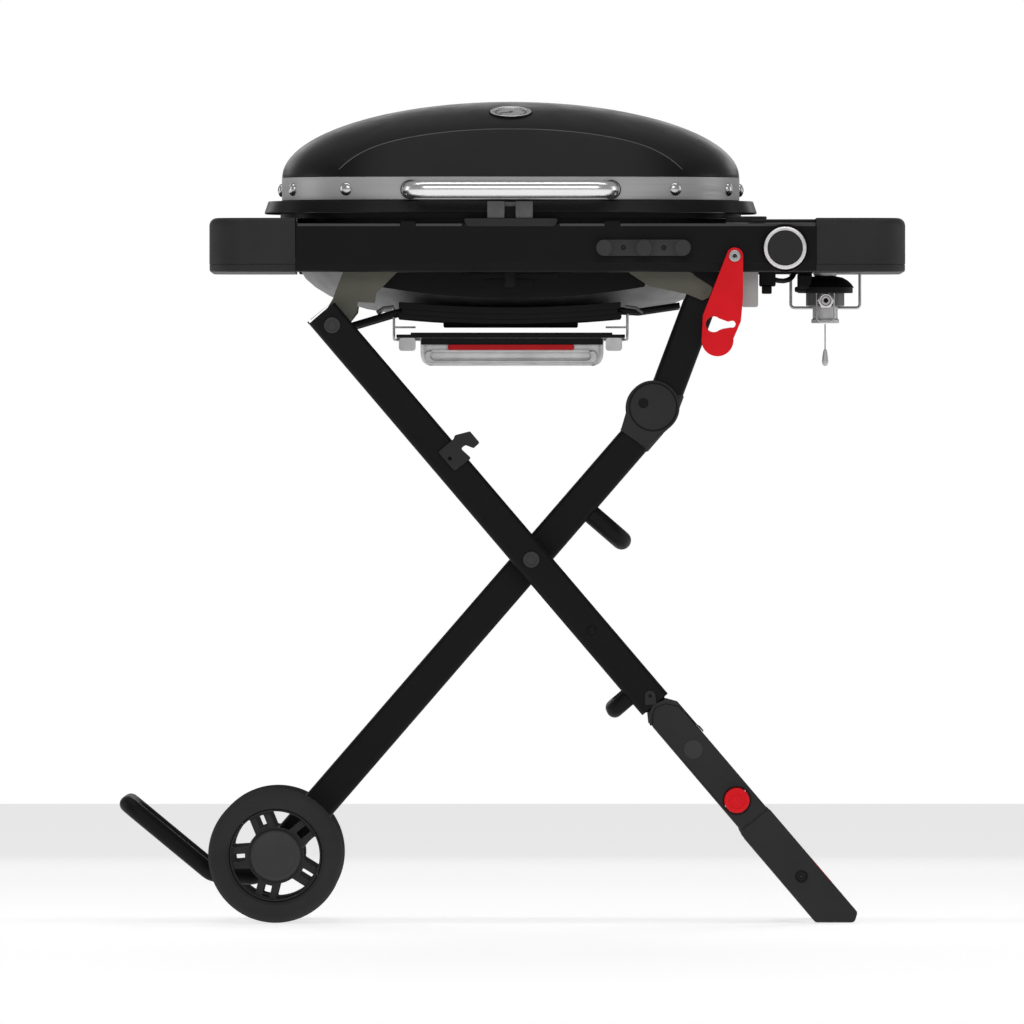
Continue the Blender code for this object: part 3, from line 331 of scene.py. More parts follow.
def plate(form, outlines, depths, edge=0.0006, steps=2, place=upright):
    """A plate with rounded edges; the first outline is its edge, the others are holes."""
    low, high = depths
    layers = []
    for k in range(steps + 1):
        turn = math.pi / 2 * k / steps
        layers.append((low + edge * (1 - math.cos(turn)), edge * (1 - math.sin(turn))))
    layers += [(low + high - depth, inset) for depth, inset in reversed(layers)]
    starts, ends = [], []
    for number, outline in enumerate(outlines):
        outline = [tuple(point) for point in outline]
        if (signed_area(outline) > 0) == (number > 0):
            outline.reverse()
        rings = [[place(p.x, p.y, depth) for p in inward(outline, inset)] for depth, inset in layers]
        rows = loft(form, rings, False)
        for row, edges in ((rows[0], starts), (rows[-1], ends)):
            edges += [form.edges.get((a, b)) for a, b in zip(row, row[1:] + row[:1])]
    for edges in (starts, ends):
        bmesh.ops.triangle_fill(form, use_beauty=True, use_dissolve=False, edges=edges)


def rounded(outline, radius, steps=5):
    """A closed outline with its corners rounded."""
    route = []
    for i in range(len(outline)):
        before, here, after = (Vector(outline[(i + k) % len(outline)]) for k in (-1, 0, 1))
        first, second = before - here, after - here
        half_angle = first.angle(second) / 2
        if half_angle > math.radians(86):
            route.append(here)
            continue
        reach = min(radius / math.tan(half_angle), 0.46 * first.length, 0.46 * second.length)
        bow = reach * math.tan(half_angle)
        centre = here + (first.normalized() + second.normalized()).normalized() * (bow / math.sin(half_angle))
        a, b = here + first.normalized() * reach - centre, here + second.normalized() * reach - centre
        turn = a.angle_signed(b)
        for step in range(steps + 1):
            spoke = a.copy()
            spoke.rotate(Matrix.Rotation(-turn * step / steps, 2))
            route.append(centre + spoke)
    return route


def rectangle(low, high, radius=0.0, steps=5):
    corners = [(low[0], low[1]), (high[0], low[1]), (high[0], high[1]), (low[0], high[1])]
    return rounded(corners, radius, steps) if radius else [Vector(c) for c in corners]


def block(form, low, high, edge=0.0008):
    """A box with rounded edges."""
    plate(form, [rectangle((low[0], low[2]), (high[0], high[2]), edge, 3)], (low[1], high[1]), edge, 3)


def stacked(form, outline, levels, keep_x=None):
    """A level body lofted up through (Z, inset) rings of one outline; points on keep_x stay there."""
    outline = [tuple(point) for point in outline]
    if signed_area(outline) < 0:
        outline.reverse()
    rings = []
    for z, inset in levels:
        ring = []
        for old, new in zip(outline, inward(outline, inset)):
            x = old[0] if keep_x is not None and abs(old[0] - keep_x) < 1e-6 else new.x
            ring.append(Vector((x, new.y, z)))
        rings.append(ring)
    loft(form, rings)


def bar(form, start, end, width, depths, corner=LEG_CORNER, wall=0.0016, plug=0.0030):
    """A rectangular tube with rounded corners in the X-Z plane, with a plug set in each end."""
    run = Vector(end) - Vector(start)
    ahead = run.normalized()
    across = Vector((-ahead.y, ahead.x))
    middle = (depths[0] + depths[1]) / 2
    half = (width / 2, abs(depths[1] - depths[0]) / 2)
    fine = 0.0006
    stations = [(fine, wall), (0.0, wall * 0.7), (0.0, fine), (fine, 0.0)]
    if plug > fine:
        stations.insert(0, (plug, wall))
    stations += [(run.length - along_bar, inset) for along_bar, inset in reversed(stations)]
    rings = []
    for distance, inset in stations:
        section = rectangle((inset - half[0], inset - half[1]), (half[0] - inset, half[1] - inset), corner - inset, 6)
        spot = Vector(start) + ahead * distance
        rings.append([Vector((spot.x + across.x * p.x, middle + p.y, spot.y + across.y * p.x)) for p in section])
    loft(form, rings)


def tube(form, points, radius, sides=20, edge=0.0006):
    """A round tube or wire along points, with slightly rounded ends."""
    points = [Vector(p) for p in points]
    ahead = (points[1] - points[0]).normalized()
    side = ahead.orthogonal().normalized()
    rings = []
    last = len(points) - 1
    for i, point in enumerate(points):
        ahead = (points[min(i + 1, last)] - points[max(i - 1, 0)]).normalized()
        side = (side - ahead * side.dot(ahead)).normalized()
        other = ahead.cross(side)

        def ring(shift, size):
            return [point + ahead * shift + (side * math.cos(a) + other * math.sin(a)) * size
                    for a in (2 * math.pi * k / sides for k in range(sides))]

        if i == 0:
            rings += [ring(0.0, radius - edge), ring(edge, radius)]
        elif i == last:
            rings += [ring(-edge, radius), ring(0.0, radius - edge)]
        else:
            rings.append(ring(0.0, radius))
    loft(form, rings)


def bend(points, radius, steps=10):
    """The route through points, with each inner corner rounded by an arc."""
    route = [Vector(points[0])]
    for before, corner, after in zip(points, points[1:], points[2:]):
        corner = Vector(corner)
        inside = (Vector(before) - corner).normalized()
        onward = (Vector(after) - corner).normalized()
        half_angle = inside.angle(onward) / 2
        reach = min(radius / math.tan(half_angle), 0.48 * (Vector(before) - corner).length,
                    0.48 * (Vector(after) - corner).length)
        arc_radius = reach * math.tan(half_angle)
        centre = corner + (inside + onward).normalized() * (arc_radius / math.sin(half_angle))
        first = (corner + inside * reach - centre).normalized()
        last = (corner + onward * reach - centre).normalized()
        for step in range(steps + 1):
            route.append(centre + first.slerp(last, step / steps) * arc_radius)
    route.append(Vector(points[-1]))
    return route


def arc(centre, radius, start, end, steps):
    """Points of an arc; angles in degrees, anticlockwise."""
    turns = [math.radians(start + (end - start) * i / steps) for i in range(steps + 1)]
    return [(centre[0] + radius * math.cos(a), centre[1] + radius * math.sin(a)) for a in turns]


def circle(centre, radius, steps=32):
    return arc(centre, radius, 0.0, 360.0 - 360.0 / steps, steps - 1)


def oval(half_x, half_y, power, count, z, centre_x=-0.0015):
    """A level rounded-rectangle oval."""
    ring = []
    for i in range(count):
        a = 2 * math.pi * i / count
        c, s = math.cos(a), math.sin(a)
        x = math.copysign(abs(c) ** (2 / power), c) * half_x
        y = math.copysign(abs(s) ** (2 / power), s) * half_y
        ring.append(Vector((centre_x + x, y, z)))
    return ring


def emit(form, name, body, look, replaced=(), angle=38.0):
    """Turns the bmesh into a piece that rides on a body."""
    bmesh.ops.recalc_face_normals(form, faces=form.faces)
    mesh = bpy.data.meshes.new(name)
    form.to_mesh(mesh)
    form.free()
    mesh.shade_smooth()
    mesh.set_sharp_from_angle(angle=math.radians(angle))
    mesh.materials.append(LOOKS[look])
    piece = bpy.data.objects.new(name, mesh)
    bpy.context.scene.collection.objects.link(piece)
    weighted = piece.modifiers.new("face_weighted_normals", "WEIGHTED_NORMAL")
    weighted.keep_sharp = True
    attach(piece, body)
    if replaced:
        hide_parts(*replaced)
    return piece


def sides():
    return (("front", -1.0), ("rear", 1.0))


def span(depths, sign):
    return tuple(sorted((sign * depths[0], sign * depths[1])))


def along(start, end, distance):
    return Vector(start) + (Vector(end) - Vector(start)).normalized() * distance


def boot_point(run, side):
    """A point from the foot pivot: along the leg, and towards its upper side."""
    return FOOT_PIVOT + LEG_RUN * run + LEG_SIDE * side


# ---- stand ------------------------------------------------------------------
def pivot_cap(form, centre, radius, seat, sign, height):
    """A domed rivet head with a raised ring."""
    face = sign * (seat + height)
    turned(form, [(0.0, sign * seat), (radius, sign * seat), (radius, face - sign * 0.0006),
                  (radius * 0.93, face), (radius * 0.72, face), (radius * 0.66, face - sign * 0.0006),
                  (radius * 0.50, face - sign * 0.0006), (radius * 0.44, face - sign * 0.0001),
                  (radius * 0.20, face + sign * 0.0001), (0.0, face + sign * 0.0001)], about_y(*centre), 48)


def make_outer_legs():
    overhang = 0.0213
    seat = boot_point(-0.0675, 0.0)
    top = along(LEG_PIVOT, FOOT_PIVOT, -overhang)
    for side, sign in sides():
        depths = span(OUTER_Y, sign)
        form = bmesh.new()
        bar(form, along(top, seat, 0.0028), seat, LEG_WIDTH, depths)
        half, root = 0.0120, LEG_WIDTH / 2 - 0.0020
        tongue = [boot_point(-0.0750, -root), boot_point(-0.0690, -root), boot_point(-0.0660, -half)]
        tongue += [boot_point(half * math.sin(math.pi * k / 12), -half * math.cos(math.pi * k / 12)) for k in range(13)]
        tongue += [boot_point(-0.0660, half), boot_point(-0.0690, root), boot_point(-0.0750, root)]
        plate(form, [tongue], span((0.2055, 0.2135), sign), 0.0006)
        emit(form, "outer_leg_tube_" + side, "outer_legs", "paint", ("outer_leg_" + side,))
        form = bmesh.new()
        bar(form, top, along(top, seat, 0.0032), LEG_WIDTH + 0.0006, span((OUTER_Y[0] - 0.0001, OUTER_Y[1] + 0.0002), sign),
            LEG_CORNER, 0.0060, 0.0006)
        emit(form, "outer_leg_end_" + side, "outer_legs", "dark_plastic")
        form = bmesh.new()
        pivot_cap(form, CROSS_PIVOT, CAP_RADIUS, 0.2221, sign, 0.0028)
        disc(form, CROSS_PIVOT, 0.0050, sign * 0.1650, sign * 0.2222)
        disc(form, CROSS_PIVOT, 0.0082, sign * 0.1643, sign * 0.1621)
        emit(form, "cross_pivot_cap_" + side, "outer_legs", "cap_plastic", ("cross_pin_" + side,))
    form = bmesh.new()
    disc(form, (0.0915, 0.3348), 0.0046, -0.2215, -0.2238, 0.0008, 24, 0.0006)
    ring_plate(form, (0.0915, 0.3348), 0.0047, 0.0066, -0.2219, -0.2225, 0.0003, 32)
    emit(form, "leg_stud", "outer_legs", "dark_plastic")
    form = bmesh.new()
    clip = [(-0.0848, 0.5395), (-0.0672, 0.5546), (-0.0655, 0.5590), (-0.0482, 0.5636), (-0.0369, 0.5503),
            (-0.0440, 0.5440), (-0.0530, 0.5475), (-0.0590, 0.5440), (-0.0466, 0.5327), (-0.0660, 0.5177)]
    plate(form, [rounded(clip, 0.0022, 4), circle((-0.0712, 0.5322), 0.0021, 20)], (-0.2262, -0.2221), 0.0008)
    emit(form, "lock_clip", "outer_legs", "plastic", ("leg_clip",))
    low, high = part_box("outer_crossbar")
    middle = sum(OUTER_Y) / 2
    axis = Vector((0.1179, 0.2443))
    reach = (axis - FOOT_PIVOT).dot(LEG_SIDE) + LEG_WIDTH / 2 - 0.001
    start = axis - LEG_SIDE * reach
    route = [(start.x, -middle, start.y), (axis.x, -middle, axis.y), (axis.x, middle, axis.y), (start.x, middle, start.y)]
    form = bmesh.new()
    tube(form, bend(route, 0.012, 8), 0.0095, 24)
    emit(form, "leg_tie_tube", "outer_legs", "paint", ("outer_crossbar",))


def boot_outline():
    base = 0.0
    outline = [boot_point(-0.0500, -0.0190), boot_point(-0.0610, -0.0110), boot_point(-0.0655, -0.0020),
               boot_point(-0.0610, 0.0105), boot_point(-0.0490, 0.0196), boot_point(-0.0360, 0.0208),
               boot_point(0.1100, 0.0208), boot_point(0.1150, 0.0222), (0.3966, 0.0118), (0.3930, base),
               (0.3480, base), boot_point(0.1150, -0.0222), boot_point(0.1100, -0.0190)]
    return [Vector(p) for p in outline]


def make_feet():
    for side, sign in sides():
        form = bmesh.new()
        outline = rounded(boot_outline(), 0.0050, 5)
        hole = circle(BUTTON_CENTRE, 0.0149, 40)
        plate(form, [outline, hole], span((0.1958, 0.2222), sign), 0.0022, 4)
        emit(form, "foot_shell_" + side, "foot", "plastic", ("foot_boot_" + side,))
        form = bmesh.new()
        toe = [boot_point(0.1060, -0.0199), boot_point(0.1075, 0.0212), boot_point(0.1150, 0.0219), (0.3960, 0.0119),
               (0.3926, 0.0004), (0.3484, 0.0004), boot_point(0.1150, -0.0219)]
        plate(form, [rounded([Vector(p) for p in toe], 0.0030, 4)], span((0.1960, 0.2240), sign), 0.0018, 4)
        emit(form, "foot_toe_" + side, "foot", "plastic")
        form = bmesh.new()
        disc(form, FOOT_PIVOT, 0.0110, sign * 0.2215, sign * 0.2229, 0.0007, 48, 0.0004)
        emit(form, "foot_pivot_cap_" + side, "foot", "cap_plastic")
        form = bmesh.new()
        screw = (0.3321, 0.0528)
        ring_plate(form, screw, 0.0040, 0.0077, sign * 0.2232, sign * 0.2246, 0.0010, 40)
        ring_plate(form, screw, 0.0018, 0.0040, sign * 0.2232, sign * 0.2242, 0.0005, 6)
        emit(form, "handle_bar_screw_" + side, "foot", "dark_plastic")
        form = bmesh.new()
        strip = [boot_point(0.1860, 0.0224), boot_point(0.1860, 0.0200), boot_point(0.2180, 0.0200), boot_point(0.2180, 0.0224)]
        plate(form, [strip], span((0.2010, 0.2226), sign), 0.0005)
        emit(form, "foot_mark_" + side, "foot", "red")
        form = bmesh.new()
        lip = [boot_point(-0.0530, -0.0205), boot_point(-0.0640, -0.0130), boot_point(-0.0690, -0.0020),
               boot_point(-0.0645, 0.0125), boot_point(-0.0510, 0.0218), boot_point(-0.0150, 0.0220),
               boot_point(-0.0120, 0.0232), boot_point(-0.0085, 0.0230), boot_point(-0.0080, 0.0212)]
        inner = [boot_point(-0.0360, 0.0204), boot_point(-0.0490, 0.0192), boot_point(-0.0606, 0.0102),
                 boot_point(-0.0650, -0.0020), boot_point(-0.0606, -0.0108), boot_point(-0.0510, -0.0182)]
        plate(form, [rounded(lip + inner, 0.0030, 4)], span((0.1965, 0.2230), sign), 0.0006)
        emit(form, "foot_lip_" + side, "foot", "plastic")
        form = bmesh.new()
        tab_centre = Vector((0.1584, 0.2600))
        towards = boot_point(-0.0706, -0.0040)
        lean = math.degrees(math.atan2((towards - tab_centre).y, (towards - tab_centre).x))
        tab = arc(tab_centre, 0.0062, lean + 90, lean + 270, 12)
        tab += [tuple(towards + Vector((tab[-1][0], tab[-1][1])) - tab_centre),
                tuple(towards + Vector((tab[0][0], tab[0][1])) - tab_centre)]
        plate(form, [tab, circle(tab_centre, 0.0019, 16)], span((0.2210, 0.2236), sign), 0.0004)
        emit(form, "foot_link_" + side, "outer_legs", "plastic")
        form = bmesh.new()
        face = sign * 0.2282
        turned(form, [(0.0, sign * 0.2160), (0.0144, sign * 0.2160), (0.0144, face - sign * 0.0012),
                      (0.0139, face - sign * 0.0003), (0.0128, face), (0.0096, face), (0.0091, face - sign * 0.0007),
                      (0.0066, face - sign * 0.0007), (0.0061, face), (0.0, face)], about_y(*BUTTON_CENTRE), 56)
        emit(form, "button_cap_" + side, "button_" + side, "red", ("release_button_" + side,))
    low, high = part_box("handle_bar")
    form = bmesh.new()
    tube(form, [(0.3321, -0.1970, 0.0528), (0.3321, 0.0, 0.0528), (0.3321, 0.1970, 0.0528)], 0.0090, 28)
    emit(form, "pull_handle", "foot", "paint", ("handle_bar",))


def make_inner_legs():
    for side, sign in sides():
        depths = span(INNER_Y, sign)
        low_end = along(WHEEL_CENTRE, CROSS_PIVOT, -0.0210)
        high_end = along(CROSS_PIVOT, WHEEL_CENTRE, -0.2080)
        form = bmesh.new()
        bar(form, low_end, high_end, INNER_WIDTH, depths)
        emit(form, "inner_leg_tube_" + side, "inner_legs", "paint", ("inner_leg_" + side,))
        form = bmesh.new()
        disc_centre = Vector((0.1620, 0.5915))
        tail = [Vector((0.1543, 0.5441)), Vector((0.1255, 0.5641))]
        outline = [Vector(p) for p in arc(disc_centre, 0.0305, -48.0, 190.0, 40)] + [tail[1], tail[0]]
        plate(form, [outline], span((0.1902, 0.1946), sign), 0.0009, 3)
        emit(form, "knee_cover_plate_" + side, "inner_legs", "plastic", ("knee_cover_" + side,))
        form = bmesh.new()
        ring_plate(form, disc_centre, 0.0262, 0.0282, sign * 0.1944, sign * 0.1950, 0.0003)
        disc(form, KNEE_PIVOT, 0.0056, sign * 0.1940, sign * 0.1958, 0.0008, 32)
        emit(form, "knee_rivet_" + side, "inner_legs", "dark_plastic")
        form = bmesh.new()
        sleeve_end = (tail[0] + tail[1]) / 2
        run = (high_end - low_end).normalized()
        start = low_end + run * (sleeve_end - low_end).dot(run)
        bar(form, start, high_end + run * 0.0010, INNER_WIDTH + 0.0030, span((INNER_Y[0] - 0.0006, INNER_Y[1] + 0.0001), sign),
            LEG_CORNER, 0.0020, 0.0015)
        emit(form, "knee_sleeve_" + side, "inner_legs", "plastic")
    form = bmesh.new()
    x, z = WHEEL_CENTRE
    tube(form, [(x, -0.2560, z), (x, 0.0, z), (x, 0.2560, z)], 0.0050, 24)
    emit(form, "axle_rod", "inner_legs", "screw", ("wheel_axle",))
    middle = sum(INNER_Y) / 2
    run = (CROSS_PIVOT - WHEEL_CENTRE).normalized()
    normal = Vector((run.y, -run.x))
    axis = Vector((0.1260, 0.4385))
    start = axis - normal * ((axis - CROSS_PIVOT).dot(normal) - INNER_WIDTH / 2 + 0.001)
    route = [(start.x, -middle, start.y), (axis.x, -middle, axis.y), (axis.x, middle, axis.y), (start.x, middle, start.y)]
    form = bmesh.new()
    tube(form, bend(route, 0.020, 10), 0.0109, 28)
    emit(form, "stand_tube", "inner_legs", "paint", ("stand_bar",))
    leg_end = along(WHEEL_CENTRE, CROSS_PIVOT, -0.0205)
    low = along(WHEEL_CENTRE, CROSS_PIVOT, -0.0330)
    half = [tuple(leg_end), (low.x - 0.002, low.y), (-0.3450, 0.0560), (-0.4411, 0.1354)]
    route = [(px, -middle, pz) for px, pz in half] + [(px, middle, pz) for px, pz in reversed(half)]
    form = bmesh.new()
    tube(form, bend(route, 0.020, 10), 0.0097, 28)
    emit(form, "foot_tube", "inner_legs", "paint", ("foot_bar",))


def make_arms():
    lean = ARM_PIVOT - KNEE_PIVOT
    turn = math.atan2(lean.y, lean.x) + math.radians(8.2)
    run = Vector((math.cos(turn), math.sin(turn)))
    low, high = ARM_PIVOT - run * 0.1440, ARM_PIVOT + run * 0.0170
    for side, sign in sides():
        depths = span(INNER_Y, sign)
        form = bmesh.new()
        bar(form, low, high, INNER_WIDTH, depths)
        disc(form, KNEE_PIVOT, 0.0110, sign * 0.1752, sign * 0.1895, 0.0006, 32)
        disc(form, KNEE_PIVOT, 0.0050, sign * 0.1760, sign * 0.1935, 0.0006, 24)
        emit(form, "upper_arm_tube_" + side, "upper_arms", "paint", ("upper_arm_" + side,))
        form = bmesh.new()
        bar(form, low - run * 0.0006, low + run * 0.0230, INNER_WIDTH + 0.0026, span((INNER_Y[0] - 0.0006, INNER_Y[1]), sign),
            LEG_CORNER, 0.0020, 0.0010)
        emit(form, "arm_sleeve_" + side, "upper_arms", "plastic")


def make_wheels():
    tyre_radius, rim_radius, hub_radius = 0.0772, 0.0526, 0.0293
    for side, sign in sides():
        near, far = sign * 0.2280, sign * 0.2620
        mid = (near + far) / 2
        half = abs(far - near) / 2
        form = bmesh.new()
        face = [(rim_radius + 0.0001, half - 0.0060), (rim_radius + 0.0012, half - 0.0025), (rim_radius + 0.0040, half - 0.0004),
                (rim_radius + 0.0052, half), (tyre_radius - 0.0075, half), (tyre_radius - 0.0050, half - 0.0006),
                (tyre_radius - 0.0022, half - 0.0026), (tyre_radius - 0.0006, half - 0.0058)]
        tread = []
        for groove in (0.0085, 0.0035):
            tread += [(tyre_radius, groove + 0.0014), (tyre_radius - 0.0009, groove + 0.0009),
                      (tyre_radius - 0.0009, groove - 0.0009), (tyre_radius, groove - 0.0014)]
        outer = face + tread
        profile = outer + [(radius, -height) for radius, height in reversed(outer)]
        turned(form, [(radius, mid + sign * height) for radius, height in profile], about_y(*WHEEL_CENTRE), 120, True)
        emit(form, "tyre_ring_" + side, "wheel_" + side, "rubber", ("tyre_" + side,), 30.0)
        form = bmesh.new()
        holes = []
        for spoke in range(5):
            turn = 40.0 + 72.0 * spoke
            for middle, near_edge, far_edge, inner, outer_radius in (
                    (0.0, -0.0046, 0.0046, 0.0350, 0.0486), (36.0, 0.0122, 0.0122, 0.0325, 0.0511)):
                window = []
                for radius, steps in ((outer_radius, 6), (inner, 4)):
                    if middle:
                        low = math.degrees(math.asin(near_edge / radius))
                        high = 72.0 - low
                    else:
                        high = math.degrees(math.asin(far_edge / radius))
                        low = -high
                    if radius == inner:
                        low, high = high, low
                    window += arc(WHEEL_CENTRE, radius, turn + low, turn + high, steps)
                holes.append(rounded(window, 0.0015, 3))
        plate(form, [circle(WHEEL_CENTRE, rim_radius, 96)] + holes, span((0.2385, 0.2535), sign), 0.0009, 2)
        ring_plate(form, WHEEL_CENTRE, 0.0506, rim_radius, sign * 0.2312, sign * 0.2588, 0.0008, 96)
        disc(form, WHEEL_CENTRE, 0.0150, sign * 0.2290, sign * 0.2400, 0.0010, 48)
        emit(form, "wheel_rim_" + side, "wheel_" + side, "plastic", ("wheel_" + side,))
        form = bmesh.new()
        turned(form, [(0.0, sign * 0.2500), (hub_radius, sign * 0.2500), (hub_radius, far - sign * 0.0028),
                      (hub_radius - 0.0006, far - sign * 0.0012), (hub_radius - 0.0020, far - sign * 0.0003),
                      (hub_radius - 0.0040, far), (hub_radius - 0.0055, far - sign * 0.0003),
                      (hub_radius - 0.0062, far - sign * 0.0008), (0.0120, far - sign * 0.0010), (0.0, far - sign * 0.0008)],
               about_y(*WHEEL_CENTRE), 72)
        emit(form, "hub_cap_" + side, "wheel_" + side, "cap_plastic")


# ---- body of the grill ------------------------------------------------------
def make_cook_box():
    form = bmesh.new()
    outer = [(0.8286, 0.2770, 0.2030, 4.0), (0.8286, 0.2788, 0.2048, 4.0), (0.8280, 0.2795, 0.2055, 4.0),
             (0.8160, 0.2836, 0.2096, 4.0), (0.8150, 0.2836, 0.2096, 4.0), (0.8146, 0.2828, 0.2088, 4.0),
             (0.8140, 0.2620, 0.1800, 3.8), (0.8130, 0.2520, 0.1670, 3.6), (0.8110, 0.2470, 0.1610, 3.4),
             (0.8110, 0.2425, 0.1565, 3.4), (0.8160, 0.2430, 0.1570, 3.4), (0.8200, 0.2560, 0.1800, 3.7),
             (0.8215, 0.2660, 0.1930, 3.9), (0.8280, 0.2762, 0.2022, 4.0)]
    loft(form, [oval(hx, hy, power, 128, z) for z, hx, hy, power in outer], False, True)
    loft(form, [oval(hx, hy, 4.0, 128, z) for z, hx, hy in (
        (0.8025, 0.2455, 0.1900), (0.8025, 0.2462, 0.1907), (0.8086, 0.2462, 0.1907), (0.8088, 0.2655, 0.1960),
        (0.8148, 0.2655, 0.1960), (0.8148, 0.2400, 0.1560), (0.8100, 0.2410, 0.1570), (0.8025, 0.2415, 0.1580))], False, True)
    emit(form, "bowl_rim", "grill", "enamel", (), 30.0)
    form = bmesh.new()
    walls = [(0.8115, 0.2445, 0.1590, 3.4), (0.7800, 0.2440, 0.1560, 3.3), (0.7500, 0.2428, 0.1505, 3.2),
             (0.7400, 0.2365, 0.1460, 3.15), (0.7300, 0.2250, 0.1380, 3.1), (0.7200, 0.2085, 0.1275, 3.0),
             (0.7120, 0.1890, 0.1160, 2.95), (0.7050, 0.1660, 0.1030, 2.9), (0.7005, 0.1400, 0.0880, 2.8),
             (0.6995, 0.0900, 0.0550, 2.6)]
    rings = [oval(hx, hy, power, 128, z) for z, hx, hy, power in walls]
    rings += [oval(hx - 0.0025, hy - 0.0025, power, 128, z + (0.0025 if z < 0.735 else 0.0)) for z, hx, hy, power in reversed(walls)]
    rows = loft(form, rings, False)
    form.faces.new(rows[len(walls) - 1])
    form.faces.new(rows[len(walls)][::-1])
    for i in range(128):
        j = (i + 1) % 128
        form.faces.new((rows[0][i], rows[-1][i], rows[-1][j], rows[0][j]))
    inner_bottom = rows[len(walls) - 1], rows[len(walls)]
    for i in range(128):
        face = form.faces.get((inner_bottom[0][i], inner_bottom[0][(i + 1) % 128], inner_bottom[1][(i + 1) % 128], inner_bottom[1][i]))
        if face:
            form.faces.remove(face)
    emit(form, "bowl", "grill", "bowl", ("cook_box",), 30.0)
    # A black plate in front of the bowl's front wall with a curved lower edge, so the bowl is dark across its front;
    # the slot and the lug sit on it.
    form = bmesh.new()
    top = 0.7462
    apron = [(-0.1560, top)] + [(x / 1000, 0.7165 + 0.0135 * (x / 155) ** 2) for x in range(-152, 160, 8)] + [(0.1580, top)]
    plate(form, [apron], (-0.1632, -0.1612), 0.0005)
    slot = rectangle((-0.0570, 0.7400), (0.0530, 0.7452), 0.0015, 3)
    lug = rounded([Vector(p) for p in ((-0.0342, 0.7385), (0.0270, 0.7385), (0.0225, 0.7290), (0.0060, 0.7240),
                                       (-0.0130, 0.7240), (-0.0300, 0.7290))], 0.0030, 3)
    plate(form, [slot], (-0.1640, -0.1630), 0.0003)
    plate(form, [lug], (-0.1644, -0.1630), 0.0004)
    emit(form, "bowl_front_dark_plate", "grill", "paint")
    form = bmesh.new()
    sag = 0.0062
    for sign in (-1.0, 1.0):
        for level_z, depth, half, reach in ((0.7125, 0.0075, 0.1275, 0.1440), (0.7068, 0.0080, 0.1240, 0.1415),
                                            (0.7010, 0.0075, 0.1285, 0.1390)):
            across = [half * (k / 10 - 1) for k in range(21)]
            lower = [(x - 0.0026, level_z - depth - sag * (1 - (x / half) ** 2)) for x in across]
            upper = [(x - 0.0026, level_z - sag * (1 - (x / half) ** 2)) for x in reversed(across)]
            plate(form, [rounded([Vector(p) for p in lower + upper], 0.0012, 2)],
                  span((reach - 0.0180, reach), sign), 0.0008)
    block(form, (-0.0790, -0.0900, 0.6838), (0.0760, 0.0900, 0.6935), 0.0015)
    block(form, (-0.1240, -0.1300, 0.6945), (0.1210, 0.1300, 0.6985), 0.0010)
    emit(form, "shield_rails", "grill", "paint", ("heat_shield",))
    form = bmesh.new()
    for depth in (-0.1300, 0.1300):
        tube(form, [(-0.1250, depth, 0.7020), (-0.1380, depth, 0.6985), (-0.1835, depth, 0.6850)], 0.0040, 16)
        tube(form, [(0.1215, depth, 0.7030), (0.1460, depth, 0.7015), (0.1930, depth, 0.7085)], 0.0036, 16)
    emit(form, "shield_struts", "grill", "paint")
    form = bmesh.new()
    for depth in (-0.1360, 0.1360):
        for side_x in (-1.0, 1.0):
            tube(form, [(side_x * 0.1330 - 0.0026, depth, 0.7070), (side_x * 0.1450 - 0.0026, depth, 0.7055),
                        (side_x * 0.1530 - 0.0026, depth, 0.7000)], 0.0019, 12)
    emit(form, "shield_clips", "grill", "dark_alloy")


def make_panels():
    low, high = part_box("front_panel")
    x0, x1, z0, z1, face, back, wall = low.x, high.x, low.z, high.z, low.y, high.y, 0.0022
    section = [(back, z0), (face + 0.0050, z0), (face + 0.0022, z0 + 0.0014), (face + 0.0014, z0 + 0.0088), (face, z0 + 0.0104),
               (face, z1 - 0.0030), (face + 0.0008, z1 - 0.0010), (face + 0.0030, z1), (back, z1), (back, z1 - wall),
               (face + wall + 0.0010, z1 - wall), (face + wall + 0.0010, z0 + wall), (back, z0 + wall)]
    form = bmesh.new()
    plate(form, [section], (x0 - 0.0010, x1 + 0.0010), 0.0003, 1, endways)
    emit(form, "front_rail", "grill", "paint", ("front_panel",), 25.0)
    form = bmesh.new()
    for x in (-0.1193, 0.1152):
        block(form, (x - 0.0085, face - 0.0003, z1 - 0.0042), (x + 0.0085, face + 0.0180, z1 + 0.0024), 0.0009)
    emit(form, "rail_clips", "grill", "dark_plastic")
    # Grey strips along the top edge of the front rail: a painted highlight on its rounded edge.
    form = bmesh.new()
    for start, end in ((x0 + 0.0010, -0.1285), (-0.1105, -0.0575), (0.0547, 0.1062), (0.1242, x1 - 0.0010)):
        block(form, (start, face - 0.0001, z1 - 0.0034), (end, face + 0.0012, z1 - 0.0004), 0.0005)
    emit(form, "rail_edge_painted_highlight", "grill", "edge")
    form = bmesh.new()
    for bolt in (-0.2000, 0.1000, 0.3000):
        disc(form, (bolt, 0.7742), 0.0042, 0.2215, 0.2236, 0.0008, 24, 0.0006)
    emit(form, "rear_rail_bolts", "grill", "screw")


